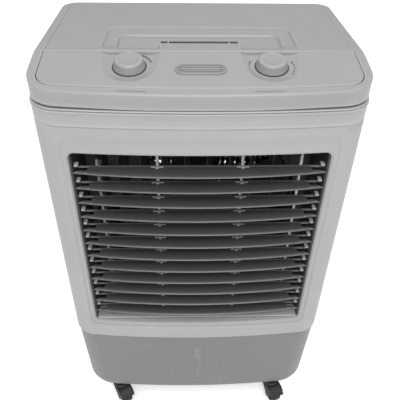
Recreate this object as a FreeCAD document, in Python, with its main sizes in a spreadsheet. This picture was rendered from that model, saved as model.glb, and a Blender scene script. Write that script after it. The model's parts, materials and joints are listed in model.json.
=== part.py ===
"""Evaporative air cooler on casters: one parametric FreeCAD document.

Frame: millimetres, +X to the user's right, +Y to the back, +Z up.  The origin lies on the floor
under the middle of the cabinet, so the front grille faces -Y and the wheels stand on z = 0.

Every driving dimension is a cell of the sheet "Sizes".  Features and primitives read the cells
through expressions, and each finished piece is written to parts/<label>.step.
"""
import FreeCAD, Part
import os
import re

import Sketcher

Vector = FreeCAD.Vector

# alias, value in millimetres (or degrees, or a count), meaning
SIZES = [
    ("top_z", 826, "upper face of the top cover above the floor"),
    ("lip_half", 254.5, "half width over the ring's lip, the widest place"),
    ("lip_deep", 182, "half depth over the ring's lip"),
    ("cover_half", 252, "half width of the top cover"),
    ("cover_deep", 179.5, "half depth of the top cover"),
    ("cover_low", 780, "lower edge of the top cover's skirt"),
    ("crease_y", -73, "where the flat top turns down into the control slope"),
    ("slope", 11.2, "tilt of the control slope, degrees"),
    ("roof", 6, "thickness of the cover's roof"),
    ("sheet", 3, "wall of the moulded shells and thickness of the panels"),
    ("bow", 2100, "radius of the gentle bow of every front face, seen from above"),
    ("corner_front", 52, "front corner radius in plan"),
    ("corner_rear", 28, "rear corner radius in plan"),
    ("panel_half", 236.5, "half width of the fill lid and of the control panel"),
    ("lid_rear", 160, "rear edge of the fill lid"),
    ("panel_front", -165, "front edge of the control panel"),
    ("panel_corner", 30, "front corner radius of the control panel"),
    ("ledge", 6, "width of the ledge that carries the lid and the panel"),
    ("gap", 0.4, "shadow gap round loose panels"),
    ("hinge_r", 4, "radius of the fill lid's hinge barrel"),
    ("pin_r", 2, "radius of hinge and louvre pins"),
    ("run", 0.05, "radial running clearance of pins"),
    ("knob_x", 105, "knob axis from the middle"),
    ("knob_u", 36, "knob axis down the slope from the crease"),
    ("knob_base", 24.5, "knob radius at its foot"),
    ("knob_top", 20, "knob radius at its crown"),
    ("knob_tall", 11, "knob height"),
    ("spindle_r", 3, "radius of a switch spindle"),
    ("badge_half", 38, "half length of the plain badge"),
    ("badge_r", 13, "end radius of the plain badge"),
    ("badge_u", 48, "badge centre down the slope from the crease"),
    ("ring_low", 751, "lower edge of the upper ring"),
    ("ring_high", 774, "upper edge of the upper ring's lip"),
    ("ring_half", 250.5, "half width of the ring at its lower edge"),
    ("ring_deep", 178.5, "half depth of the ring at its lower edge"),
    ("case_half", 249.5, "half width of the front frame and the cabinet"),
    ("case_deep", 179, "half depth of the front frame"),
    ("case_rear", 178, "rear face of the cabinet"),
    ("case_low", 266, "lower edge of the frame and the cabinet"),
    ("case_split", -110, "seam between the front frame and the cabinet"),
    ("mouth_half", 201, "half width of the air outlet"),
    ("mouth_low", 306, "lower edge of the air outlet"),
    ("mouth_high", 702, "upper edge of the air outlet"),
    ("mouth_corner", 12, "corner radius of the air outlet"),
    ("carrier_front", -160, "front of the louvre carrier"),
    ("carrier_rear", -70, "rear of the louvre carrier"),
    ("carrier_wall", 3.5, "wall of the louvre carrier"),
    ("post_x", 68, "the two posts behind the slats, from the middle"),
    ("post_wide", 5.5, "width of a post"),
    ("slats", 12, "number of horizontal slats"),
    ("slat_pitch", 29.75, "distance between slats"),
    ("slat_top_z", 668, "pivot height of the top slat"),
    ("slat_y", -150, "slat pivot line"),
    ("slat_chord", 28, "slat chord at the middle"),
    ("slat_half", 168, "half length of a slat's blade"),
    ("slat_tilt", 11, "downward tilt of the slats at rest, degrees"),
    ("slat_thick", 2.2, "thickness of a slat"),
    ("slat_arm", 12, "slat pivot to link pin"),
    ("vanes", 10, "number of swing vanes"),
    ("vane_pitch", 36.6, "distance between vanes"),
    ("vane_y", -100, "vane pivot line"),
    ("vane_chord", 44, "chord of a vane"),
    ("vane_low", 320, "lower edge of a vane"),
    ("vane_high", 703, "upper edge of a vane"),
    ("vane_turn", 15, "sideways turn of the vanes at rest, degrees"),
    ("vane_arm", 16, "vane pivot to link pin"),
    ("fan_z", 510, "height of the fan's axis"),
    ("fan_r", 182, "tip radius of the fan"),
    ("shroud_r", 190, "radius of the shroud's mouth"),
    ("fan_y", -25, "middle of the fan's blades"),
    ("blades", 5, "number of fan blades"),
    ("hub_r", 45, "fan hub radius"),
    ("pad_half", 195, "half width of the cooling pad"),
    ("pad_low", 290, "lower edge of the cooling pad"),
    ("pad_high", 712, "upper edge of the cooling pad"),
    ("screw_x", 208, "rear wall screws from the middle"),
    ("screw_r", 3.6, "radius of a screw head"),
    ("cord_y", 130, "depth of the cord entry in the side wall"),
    ("cord_z", 292, "height of the cord entry"),
    ("tank_half", 246.5, "half width of the tank at its rim"),
    ("tank_deep", 176, "half depth of the tank at its rim"),
    ("tank_foot_half", 240, "half width of the tank at its floor"),
    ("tank_foot_deep", 169, "half depth of the tank at its floor"),
    ("tank_low", 70, "underside of the tank"),
    ("wheel_r", 21, "caster wheel radius"),
    ("wheel_wide", 22, "caster wheel width"),
    ("fork_half", 16, "half width of a caster's fork"),
    ("trail", 15, "distance from swivel axis to wheel axle"),
    ("caster_x", 178, "swivel axis from the middle"),
    ("caster_y", 140, "swivel axis from the middle, front and back"),
]

doc = FreeCAD.newDocument("evaporative_cooler")
sheet = doc.addObject("Spreadsheet::Sheet", "Sizes")
for row, (alias, value, meaning) in enumerate(SIZES, start=1):
    sheet.set(f"A{row}", alias)
    sheet.set(f"B{row}", str(value))
    sheet.set(f"C{row}", meaning)
    sheet.setAlias(f"B{row}", alias)
doc.recompute()
ALIASES = {alias for alias, _, _ in SIZES}
pieces = []


# ---------------------------------------------------------------- expressions

def formula(text):
    """Put the sheet's name before every alias in an expression."""
    def full(word):
        return "Sizes." + word.group() if word.group() in ALIASES else word.group()
    return re.sub(r"[a-z_][a-z_0-9]*", full, str(text))


def number(text):
    """Value of an expression, as a plain number."""
    return float(sheet.evalExpression(formula(text)))


def bind(thing, **sizes):
    """Tie properties to expressions; a double underscore stands for a dot."""
    for name, text in sizes.items():
        thing.setExpression(name.replace("__", "."), formula(text))
    return thing


def seat(thing, x, y, z, axis=Vector(0, 0, 1), turn=0):
    """Turn a thing about an axis and put its origin at (x, y, z)."""
    thing.Placement = FreeCAD.Placement(Vector(number(x), number(y), number(z)),
                                        FreeCAD.Rotation(axis, number(turn)))
    return bind(thing, Placement__Base__x=x, Placement__Base__y=y, Placement__Base__z=z)


# ---------------------------------------------------------------- primitives and booleans

def box(name, x, y, z):
    """Box between pairs of expressions (low, high) on each axis."""
    thing = doc.addObject("Part::Box", name)
    bind(thing, Length=f"({x[1]}) - ({x[0]})", Width=f"({y[1]}) - ({y[0]})", Height=f"({z[1]}) - ({z[0]})")
    return seat(thing, x[0], y[0], z[0])


TURNS = {"X": (Vector(0, 1, 0), 90), "Y": (Vector(1, 0, 0), -90), "Z": (Vector(0, 0, 1), 0)}


def rod(name, radius, length, x, y, z, along="Z"):
    """Cylinder that starts at (x, y, z) and runs along a positive axis."""
    thing = bind(doc.addObject("Part::Cylinder", name), Radius=radius, Height=length)
    axis, turn = TURNS[along]
    return seat(thing, x, y, z, axis, turn)


def fuse(name, *parts):
    """Union of several objects."""
    thing = doc.addObject("Part::MultiFuse", name)
    thing.Shapes = list(parts)
    thing.Refine = True
    return thing


def cut(name, base, *tools):
    """Base less all the tools."""
    thing = doc.addObject("Part::Cut", name)
    thing.Base = base
    thing.Tool = tools[0] if len(tools) == 1 else fuse(name + "_tools", *tools)
    thing.Refine = True
    return thing


def common(name, first, second):
    """What two objects share."""
    thing = doc.addObject("Part::Common", name)
    thing.Base = first
    thing.Tool = second
    thing.Refine = True
    return thing


def done(thing, label):
    """Give a finished piece the label that names its file."""
    thing.Label = label
    pieces.append(thing)
    return thing


# ---------------------------------------------------------------- bodies, sketches and features

def new_body(name):
    """Empty PartDesign body."""
    return doc.addObject("PartDesign::Body", name)


def datum(body, role):
    """Origin plane or axis of a body."""
    return next(feature for feature in body.Origin.OriginFeatures if feature.Role == role)


def sketch(body, name, role, at="0"):
    """Sketch on an origin plane, moved along that plane's world axis to the coordinate at."""
    flat = body.newObject("Sketcher::SketchObject", name)
    flat.AttachmentSupport = [(datum(body, role), "")]
    flat.MapMode = "FlatFace"
    sign = "-" if role == "XZ_Plane" else ""
    return bind(flat, AttachmentOffset__Base__z=f"{sign}({at})")


def constrain(flat, text, kind, *where):
    """Add one dimension and tie it to an expression."""
    index = flat.addConstraint(Sketcher.Constraint(kind, *where, number(text)))
    flat.setExpression(f"Constraints[{index}]", formula(text))


def pin_point(flat, curve, end, x, y):
    """Fix one point of a curve at (x, y) from the sketch's origin."""
    constrain(flat, x, "DistanceX", -1, 1, curve, end)
    constrain(flat, y, "DistanceY", -1, 1, curve, end)


def polygon(flat, *corners):
    """Closed polygon; each corner is a pair of expressions."""
    points = [Vector(number(x), number(y), 0) for x, y in corners]
    first = flat.GeometryCount
    for start, end in zip(points, points[1:] + points[:1]):
        flat.addGeometry(Part.LineSegment(start, end), False)
    for step, corner in enumerate(corners):
        following = first + (step + 1) % len(corners)
        flat.addConstraint(Sketcher.Constraint("Coincident", first + step, 2, following, 1))
        pin_point(flat, first + step, 1, *corner)
    return flat


def rectangle(flat, x0, x1, y0, y1):
    """Rectangle between two corners."""
    return polygon(flat, (x0, y0), (x1, y0), (x1, y1), (x0, y1))


def circle(flat, x, y, radius):
    """Full circle."""
    shape = Part.Circle(Vector(number(x), number(y), 0), Vector(0, 0, 1), number(radius))
    curve = flat.addGeometry(shape, False)
    pin_point(flat, curve, 3, x, y)
    constrain(flat, radius, "Radius", curve)
    return flat


def arc_between(flat, centre, start, end, radius):
    """Anticlockwise arc round a centre from one point to another."""
    shape = Part.Circle(centre, Vector(0, 0, 1), radius)
    first = shape.parameter(start)
    last = shape.parameter(end)
    return flat.addGeometry(Part.ArcOfCircle(shape, first, last), False)


def tangent_chain(flat, curves):
    """Join each curve's end to the next one's start, smoothly and round to the first."""
    for curve, following in zip(curves, curves[1:] + curves[:1]):
        flat.addConstraint(Sketcher.Constraint("Tangent", curve, 2, following, 1))


def rounded(flat, x0, x1, y0, y1, radius):
    """Rectangle with equal corner radii."""
    west, east, south, north, r = (number(text) for text in (x0, x1, y0, y1, radius))
    line = Part.LineSegment
    curves = [
        flat.addGeometry(line(Vector(west + r, south), Vector(east - r, south)), False),
        arc_between(flat, Vector(east - r, south + r), Vector(east - r, south), Vector(east, south + r), r),
        flat.addGeometry(line(Vector(east, south + r), Vector(east, north - r)), False),
        arc_between(flat, Vector(east - r, north - r), Vector(east, north - r), Vector(east - r, north), r),
        flat.addGeometry(line(Vector(east - r, north), Vector(west + r, north)), False),
        arc_between(flat, Vector(west + r, north - r), Vector(west + r, north), Vector(west, north - r), r),
        flat.addGeometry(line(Vector(west, north - r), Vector(west, south + r)), False),
        arc_between(flat, Vector(west + r, south + r), Vector(west, south + r), Vector(west + r, south), r),
    ]
    tangent_chain(flat, curves)
    left, right = f"({x0}) + ({radius})", f"({x1}) - ({radius})"
    low, high = f"({y0}) + ({radius})", f"({y1}) - ({radius})"
    centres = [(right, low), (right, high), (left, high), (left, low)]
    for curve, centre in zip(curves[1::2], centres):
        pin_point(flat, curve, 3, *centre)
        constrain(flat, radius, "Radius", curve)
    return flat


def plan(flat, half, front, rear, front_r, rear_r):
    """Outline of the cooler seen from above: bowed front, round corners, straight sides and rear."""
    h, f, b, rf, rr, bow = (number(text) for text in (half, front, rear, front_r, rear_r, "bow"))
    middle = Vector(0, f + bow)
    inset = h - rf
    corner_y = middle.y - ((bow - rf) ** 2 - inset ** 2) ** 0.5
    right = Vector(inset, corner_y)
    left = Vector(-inset, corner_y)
    touch = middle + (right - middle) * (bow / (bow - rf))
    mirror = Vector(-touch.x, touch.y)
    line = Part.LineSegment
    curves = [
        arc_between(flat, middle, mirror, touch, bow),
        arc_between(flat, right, touch, Vector(h, corner_y), rf),
        flat.addGeometry(line(Vector(h, corner_y), Vector(h, b - rr)), False),
        arc_between(flat, Vector(h - rr, b - rr), Vector(h, b - rr), Vector(h - rr, b), rr),
        flat.addGeometry(line(Vector(h - rr, b), Vector(rr - h, b)), False),
        arc_between(flat, Vector(rr - h, b - rr), Vector(rr - h, b), Vector(-h, b - rr), rr),
        flat.addGeometry(line(Vector(-h, b - rr), Vector(-h, corner_y)), False),
        arc_between(flat, left, Vector(-h, corner_y), mirror, rf),
    ]
    tangent_chain(flat, curves)
    pin_point(flat, curves[0], 3, "0", f"({front}) + bow")
    constrain(flat, "bow", "Radius", curves[0])
    for curve, side in ((curves[3], "1"), (curves[5], "-1")):
        pin_point(flat, curve, 3, f"{side} * (({half}) - ({rear_r}))", f"({rear}) - ({rear_r})")
        constrain(flat, rear_r, "Radius", curve)
    for curve, side in ((curves[1], "1"), (curves[7], "-1")):
        constrain(flat, f"{side} * (({half}) - ({front_r}))", "DistanceX", -1, 1, curve, 3)
        constrain(flat, front_r, "Radius", curve)
    return flat


def extrude(body, name, flat, length, hollow=False):
    """Pad or pocket a sketch along the positive world axis of its plane."""
    feature = body.newObject("PartDesign::Pocket" if hollow else "PartDesign::Pad", name)
    feature.Profile = flat
    across_y = "XZ_Plane" in flat.AttachmentSupport[0][0].Role
    feature.Reversed = across_y != hollow
    return bind(feature, Length=length)


def spin(body, name, flat, role, hollow=False):
    """Turn a sketch about an origin axis into a revolved solid or groove."""
    feature = body.newObject("PartDesign::Groove" if hollow else "PartDesign::Revolution", name)
    feature.Profile = flat
    feature.ReferenceAxis = (datum(body, role), [""])
    feature.Angle = 360
    return feature


def repeat(body, name, features, role, length, count):
    """Linear pattern of features along an origin axis."""
    pattern = body.newObject("PartDesign::LinearPattern", name)
    pattern.Originals = features
    pattern.Direction = (datum(body, role), [""])
    bind(pattern, Length=length, Occurrences=count)
    body.Tip = pattern
    return pattern


def slab(name, low, high, half, front, rear, front_r="corner_front", rear_r="corner_rear"):
    """Solid with the cooler's plan outline between two heights."""
    body = new_body(name)
    flat = plan(sketch(body, name + "_plan", "XY_Plane", low), half, front, rear, front_r, rear_r)
    extrude(body, name + "_pad", flat, f"({high}) - ({low})")
    return body


def hull(name, low, high, inset="0"):
    """Tapered solid between two plan outlines, each (height, half, depth)."""
    body = new_body(name)
    flats = []
    for place, (height, half, deep) in (("foot", low), ("rim", high)):
        flat = sketch(body, f"{name}_{place}", "XY_Plane", height)
        flats.append(plan(flat, f"{half} - {inset}", f"-({deep} - {inset})", f"{deep} - {inset}",
                          f"corner_front - {inset}", f"corner_rear - {inset}"))
    loft = body.newObject("PartDesign::AdditiveLoft", name + "_loft")
    loft.Profile = flats[0]
    loft.Sections = [flats[1]]
    loft.Ruled = True
    return body


# ---------------------------------------------------------------- top cover, lid and controls

SLOPE_AXIS = Vector(1, 0, 0)


def on_slope(thing, lift="0"):
    """Seat a thing made about the origin onto the control slope, its origin on the crease line."""
    return seat(thing, "0", "crease_y", f"top_z + {lift}", SLOPE_AXIS, "slope")


def cover_envelope(name, wall, roof, low):
    """Block with a flat rear top and a sloping front top."""
    body = slab(name, low, f"top_z - {roof}", f"cover_half - {wall}", f"-(cover_deep - {wall})",
                f"cover_deep - {wall}", f"corner_front - {wall}", f"corner_rear - {wall}")
    wedge = sketch(body, name + "_slope", "YZ_Plane", "-cover_half - 1")
    drop = "(cover_deep + 20 + crease_y) * tan(slope)"
    polygon(wedge, ("crease_y", f"top_z - {roof}"), ("crease_y", "top_z + 1"),
            ("-cover_deep - 20", "top_z + 1"), ("-cover_deep - 20", f"top_z - {roof} - {drop}"))
    extrude(body, name + "_chamfer", wedge, "2 * cover_half + 2", hollow=True)
    return body


def make_top_cover():
    """Top cover shell with its two rebated openings and the lid's hinge bosses."""
    outside = cover_envelope("cover_outside", "0", "0", "cover_low")
    inside = cover_envelope("cover_inside", "sheet", "roof", "cover_low - 1")
    shell = cut("cover_shell", outside, inside)
    bosses = [box(f"cover_boss_{side}", (low, high), ("lid_rear - 10", "lid_rear + 3"),
                  ("top_z - roof - 6", "top_z - 1"))
              for side, low, high in (("left", "-panel_half - 12", "-panel_half - gap"),
                                      ("right", "panel_half + gap", "panel_half + 12"))]
    whole = fuse("cover_whole", shell, *bosses)
    lid_rebate = box("lid_rebate", ("-panel_half - gap", "panel_half + gap"),
                     ("crease_y", "lid_rear + gap"), ("top_z - sheet", "top_z + 1"))
    lid_hole = box("lid_hole", ("-panel_half + ledge", "panel_half - ledge"),
                   ("crease_y + ledge", "lid_rear + gap"), ("top_z - 40", "top_z"))
    barrel_room = box("barrel_room", ("-panel_half - gap", "panel_half + gap"),
                      ("lid_rear - 2 * hinge_r - gap", "lid_rear + gap"), ("top_z - 20", "top_z"))
    pin_bore = rod("pin_bore", "pin_r + run", "2 * panel_half + 20", "-panel_half - 10",
                   "lid_rear - hinge_r", "top_z - hinge_r", "X")
    panel_rebate = on_slope(slab("panel_rebate", "-sheet", "20", "panel_half + gap",
                                 "panel_front - crease_y - gap", "0", "panel_corner", "1"))
    panel_hole = on_slope(slab("panel_hole", "-40", "20", "panel_half - ledge",
                               "panel_front - crease_y + ledge", "-ledge", "panel_corner - ledge", "1"))
    rooms = (lid_rebate, lid_hole, barrel_room, pin_bore, panel_rebate, panel_hole)
    done(cut("cover", whole, *rooms), "top_cover")


def make_fill_lid():
    """Water fill lid: plate, stepped hand recess, grip bar, finger slot and rear hinge barrel."""
    body = new_body("lid_plate")
    low = "top_z - sheet"
    flat = rectangle(sketch(body, "lid_plan", "XY_Plane", low), "-panel_half", "panel_half",
                     "crease_y + 0.8", "lid_rear - hinge_r")
    extrude(body, "lid_pad", flat, "sheet")
    front = "crease_y + 12"
    under = rounded(sketch(body, "pan_plan", "XY_Plane", "top_z - 9"), "-158", "158", front, "44", "14")
    extrude(body, "lid_pan", under, "6")
    outer = rounded(sketch(body, "step_one", "XY_Plane", "top_z - 2.5"), "-152", "152", front, "38", "12")
    extrude(body, "lid_step_one", outer, "3", hollow=True)
    inner = rounded(sketch(body, "step_two", "XY_Plane", "top_z - 5"), "-131", "131", front, "2", "8")
    extrude(body, "lid_step_two", inner, "6", hollow=True)
    bar = box("grip_bar", ("-62", "62"), ("crease_y + 6", "crease_y + 34"), ("top_z - 9", "top_z"))
    slot = box("finger_slot", ("-62", "62"), ("crease_y + 34", "crease_y + 60"),
               ("top_z - 20", "top_z + 1"))
    barrel = rod("lid_barrel", "hinge_r", "2 * panel_half - 1", "-panel_half + 0.5", "lid_rear - hinge_r",
                 "top_z - hinge_r", "X")
    pins = rod("lid_pins", "pin_r", "2 * panel_half + 18", "-panel_half - 9", "lid_rear - hinge_r",
               "top_z - hinge_r", "X")
    solid = fuse("lid_solid", body, bar, barrel, pins)
    done(cut("lid", solid, slot), "fill_lid")


def make_control_panel():
    """Sloping panel with two shallow dishes and clearance holes for the spindles."""
    plate = slab("panel_plate", "-sheet", "0", "panel_half", "panel_front - crease_y", "-0.8",
                 "panel_corner", "0.6")
    tools = []
    for side, sign in (("left", "-1"), ("right", "1")):
        dish = bind(doc.addObject("Part::Cone", f"dish_{side}"), Radius1="knob_base + 1.5",
                    Radius2="knob_base + 6", Height="1.5")
        tools.append(seat(dish, f"{sign} * knob_x", "-knob_u", "-1.4"))
        tools.append(rod(f"spindle_hole_{side}", "spindle_r + 0.5", "10", f"{sign} * knob_x",
                         "-knob_u", "-5"))
    done(on_slope(cut("panel", plate, *tools)), "control_panel")


def make_badge():
    """Blank pill-shaped badge with a raised rim."""
    body = new_body("badge")
    flat = rounded(sketch(body, "badge_plan", "XY_Plane"), "-badge_half", "badge_half",
                   "-badge_u - badge_r", "-badge_u + badge_r", "badge_r - 0.01")
    extrude(body, "badge_pad", flat, "2.2")
    dish = rounded(sketch(body, "badge_field", "XY_Plane", "1.2"), "-badge_half + 2", "badge_half - 2",
                   "-badge_u - badge_r + 2", "-badge_u + badge_r - 2", "badge_r - 2.01")
    extrude(body, "badge_dish", dish, "2", hollow=True)
    done(on_slope(body), "badge_plate")


def make_controls():
    """Two rotary switches under the panel, each with a knob on its spindle."""
    for name, sign in (("function", "-1"), ("speed", "1")):
        knob = new_body(f"{name}_knob_body")
        half = sketch(knob, f"{name}_profile", "XZ_Plane")
        polygon(half, ("0", "1"), ("knob_base - 1", "1"), ("knob_base", "2"), ("knob_top", "knob_tall - 3"),
                ("knob_top - 3", "knob_tall"), ("0", "knob_tall"))
        spin(knob, f"{name}_turned", half, "Z_Axis")
        knob.Placement.Base = Vector(number(f"{sign} * knob_x"), -number("knob_u"), 0)
        bind(knob, Placement__Base__x=f"{sign} * knob_x", Placement__Base__y="-knob_u")
        spindle = rod(f"{name}_spindle", "spindle_r", "16", f"{sign} * knob_x", "-knob_u", "-12")
        done(on_slope(fuse(f"{name}_knob_solid", knob, spindle)), f"{name}_knob")
        case = box(f"{name}_case", (f"{sign} * knob_x - 16", f"{sign} * knob_x + 16"),
                   ("-knob_u - 16", "-knob_u + 16"), ("-24", "-3.5"))
        collar = rod(f"{name}_collar", "6", "0.5", f"{sign} * knob_x", "-knob_u", "-3.5")
        bore = rod(f"{name}_bore", "spindle_r + run", "20", f"{sign} * knob_x", "-knob_u", "-14")
        block = fuse(f"{name}_block", case, collar)
        done(on_slope(cut(f"{name}_switch_solid", block, bore)), f"{name}_switch")


# ---------------------------------------------------------------- ring, frame and cabinet

SCREWS = [(x, z) for x in ("-screw_x", "screw_x") for z in (300, 432, 568, 700)]


def make_upper_ring():
    """Flared ring between cabinet and cover, with an inner neck that locates the cover."""
    outside = hull("ring_outside", ("ring_low", "ring_half", "ring_deep"),
                   ("ring_high", "lip_half", "lip_deep"))
    neck = slab("ring_neck", "ring_high - 5", "ring_high + 14", "cover_half - 4", "-(cover_deep - 4)",
                "cover_deep - 4", "corner_front - 4", "corner_rear - 4")
    inside = slab("ring_inside", "ring_low - 1", "ring_high + 15", "cover_half - 7", "-(cover_deep - 7)",
                  "cover_deep - 7", "corner_front - 7", "corner_rear - 7")
    done(cut("ring", fuse("ring_solid", outside, neck), inside), "upper_ring")


def case_shell(name):
    """Open tube with the cabinet's plan, from the tank's rim to the upper ring."""
    outside = slab(name + "_outside", "case_low", "ring_low", "case_half", "-case_deep", "case_rear")
    inside = slab(name + "_inside", "case_low - 1", "ring_low + 1", "case_half - sheet",
                  "-(case_deep - sheet)", "case_rear - sheet", "corner_front - sheet",
                  "corner_rear - sheet")
    return cut(name + "_tube", outside, inside)


def make_front_frame():
    """Front frame: bowed face with the air outlet and a return lip round it."""
    tube = case_shell("frame")
    behind = box("frame_behind", ("-case_half - 1", "case_half + 1"), ("case_split", "case_rear + 1"),
                 ("case_low - 1", "ring_low + 1"))
    lip = new_body("mouth_lip")
    flat = sketch(lip, "lip_plan", "XZ_Plane", "-case_deep - 1")
    rounded(flat, "-mouth_half - 3", "mouth_half + 3", "mouth_low - 3", "mouth_high + 3", "mouth_corner + 3")
    extrude(lip, "lip_pad", flat, "case_deep + 1 + carrier_front - 0.5")
    mouth = new_body("mouth")
    hole = rounded(sketch(mouth, "mouth_plan", "XZ_Plane", "-case_deep - 5"), "-mouth_half", "mouth_half",
                   "mouth_low", "mouth_high", "mouth_corner")
    extrude(mouth, "mouth_pad", hole, "60")
    lip_in_face = common("lip_in_face", lip, doc.getObject("frame_outside"))
    solid = fuse("frame_solid", cut("frame_front", tube, behind), lip_in_face)
    done(cut("frame", solid, mouth), "front_frame")


def make_cabinet():
    """Cabinet shell behind the front frame, with the rear opening for the pad cassette."""
    tube = case_shell("cabinet")
    ahead = box("cabinet_ahead", ("-case_half - 1", "case_half + 1"), ("-case_deep - 1", "case_split"),
                ("case_low - 1", "ring_low + 1"))
    opening = box("rear_opening", ("-pad_half - 6", "pad_half + 6"), ("100", "case_rear + 1"),
                  ("pad_low - 6", "pad_high + 6"))
    entry = rod("cord_entry", "7", "20", "case_half - 12", "cord_y", "cord_z", "X")
    holes = [rod(f"screw_hole_{count}", "1.8", "20", x, "case_rear - 10", z, "Y")
             for count, (x, z) in enumerate(SCREWS)]
    done(cut("cabinet", tube, ahead, opening, entry, *holes), "cabinet_shell")


def make_screws():
    """Pan-head screws of the rear wall, one group of equal fasteners."""
    parts = []
    for count, (x, z) in enumerate(SCREWS):
        parts.append(rod(f"screw_head_{count}", "screw_r", "2.2", x, "case_rear", z, "Y"))
        parts.append(rod(f"screw_shank_{count}", "1.75", "12", x, "case_rear - 11", z, "Y"))
    done(fuse("screws", *parts), "case_screws")


def make_cord_gland():
    """Bush in the side wall where the power cord enters."""
    flange = rod("gland_flange", "10", "3", "case_half", "cord_y", "cord_z", "X")
    stem = rod("gland_stem", "6.95", "10", "case_half - 9", "cord_y", "cord_z", "X")
    bore = rod("gland_bore", "3.7", "20", "case_half - 12", "cord_y", "cord_z", "X")
    done(cut("gland", fuse("gland_solid", flange, stem), bore), "cord_gland")


# ---------------------------------------------------------------- louvres

def make_carrier():
    """Box frame behind the outlet that carries slats, posts and vanes."""
    body = new_body("carrier")
    flat = sketch(body, "carrier_plan", "XZ_Plane", "carrier_front")
    rectangle(flat, "-mouth_half - carrier_wall", "mouth_half + carrier_wall", "mouth_low - carrier_wall",
              "mouth_high + carrier_wall")
    extrude(body, "carrier_pad", flat, "carrier_rear - carrier_front")
    inner = sketch(body, "carrier_hole", "XZ_Plane", "carrier_front")
    rectangle(inner, "-mouth_half + 1", "mouth_half - 1", "mouth_low", "mouth_high")
    extrude(body, "carrier_pocket", inner, "carrier_rear - carrier_front", hollow=True)
    for side, sign in (("left", "-1"), ("right", "1")):
        post = sketch(body, f"post_{side}", "XZ_Plane", "slat_y + 5")
        rectangle(post, f"{sign} * post_x - post_wide / 2", f"{sign} * post_x + post_wide / 2",
                  "mouth_low - 1", "mouth_high + 1")
        extrude(body, f"post_pad_{side}", post, "6")
    bore = circle(sketch(body, "slat_bore", "YZ_Plane", "-mouth_half - 5"), "slat_y", "slat_top_z",
                  "pin_r + run")
    through = extrude(body, "slat_bores", bore, "2 * mouth_half + 10", hollow=True)
    row = repeat(body, "slat_bore_row", [through], "Z_Axis", "(slats - 1) * slat_pitch", "slats")
    row.Reversed = True
    pivot = circle(sketch(body, "vane_bore", "XY_Plane", "mouth_low - 5"), "-4.5 * vane_pitch", "vane_y",
                   "pin_r + run")
    up = extrude(body, "vane_bores", pivot, "mouth_high - mouth_low + 10", hollow=True)
    repeat(body, "vane_bore_row", [up], "X_Axis", "(vanes - 1) * vane_pitch", "vanes")
    crank = circle(sketch(body, "crank_bore", "XY_Plane", "mouth_low - 5"), "0", "vane_y", "3.1")
    extrude(body, "crank_hole", crank, "6", hollow=True)
    done(body, "louvre_carrier")


def make_slat(index):
    """One horizontal slat: bowed blade, rear barrel, end pins and link arm."""
    name = f"slat_{index:02d}"
    body = new_body(name)
    blade = sketch(body, name + "_section", "YZ_Plane", "-slat_half")
    polygon(blade, ("-slat_chord", "-slat_thick / 2"), ("0", "-slat_thick / 2"), ("0", "slat_thick / 2"),
            ("-0.5 * slat_chord", "slat_thick / 2 + 1"), ("-slat_chord", "slat_thick / 2 - 0.6"))
    extrude(body, name + "_blade", blade, "2 * slat_half")
    trim = sketch(body, name + "_bow", "XY_Plane", "-10")
    reach = "slat_half * slat_half / 2 / bow + 1"
    polygon(trim, ("-slat_half - 1", f"-slat_chord + {reach}"), ("-slat_half * 0.6", "-slat_chord + 1.8"),
            ("-slat_half * 0.2", "-slat_chord"), ("-slat_half * 0.2", "-slat_chord - 5"),
            ("-slat_half - 1", "-slat_chord - 5"))
    polygon(trim, ("slat_half + 1", f"-slat_chord + {reach}"), ("slat_half + 1", "-slat_chord - 5"),
            ("slat_half * 0.2", "-slat_chord - 5"), ("slat_half * 0.2", "-slat_chord"),
            ("slat_half * 0.6", "-slat_chord + 1.8"))
    extrude(body, name + "_trim", trim, "20", hollow=True)
    tab = sketch(body, name + "_tab", "YZ_Plane", "-mouth_half + 8")
    circle(tab, "0", "0", "2.6")
    extrude(body, name + "_barrel", tab, "2 * mouth_half - 16")
    pins = circle(sketch(body, name + "_pin", "YZ_Plane", "-mouth_half - 3"), "0", "0", "pin_r")
    extrude(body, name + "_pins", pins, "2 * mouth_half + 6")
    arm = sketch(body, name + "_arm", "YZ_Plane", "-160")
    polygon(arm, ("-1", "-1"), ("slat_arm + 2.5", "-2.5"), ("slat_arm + 2.5", "2.5"), ("-1", "1"))
    extrude(body, name + "_lever", arm, "2.4")
    stud = circle(sketch(body, name + "_stud", "YZ_Plane", "-167"), "slat_arm", "0", "1.5")
    extrude(body, name + "_link_pin", stud, "8")
    drop = f"{index - 1} * slat_pitch"
    seat(body, "0", "slat_y", f"slat_top_z - {drop}", Vector(1, 0, 0), "slat_tilt")
    done(body, name)


def make_slat_link():
    """Upright bar that keeps the slats parallel."""
    body = new_body("slat_link")
    y = "slat_arm * cos(slat_tilt)"
    z = "slat_arm * sin(slat_tilt)"
    flat = sketch(body, "slat_link_side", "YZ_Plane", "-166.5")
    rounded(flat, f"{y} - 3.5", f"{y} + 3.5", f"{z} - (slats - 1) * slat_pitch - 5", f"{z} + 5", "3")
    extrude(body, "slat_link_pad", flat, "4")
    hole = circle(sketch(body, "slat_link_eye", "YZ_Plane", "-170"), y, z, "1.5 + run")
    eye = extrude(body, "slat_link_hole", hole, "10", hollow=True)
    row = repeat(body, "slat_link_eyes", [eye], "Z_Axis", "(slats - 1) * slat_pitch", "slats")
    row.Reversed = True
    seat(body, "0", "slat_y", "slat_top_z")
    done(body, "slat_link_bar")


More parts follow.
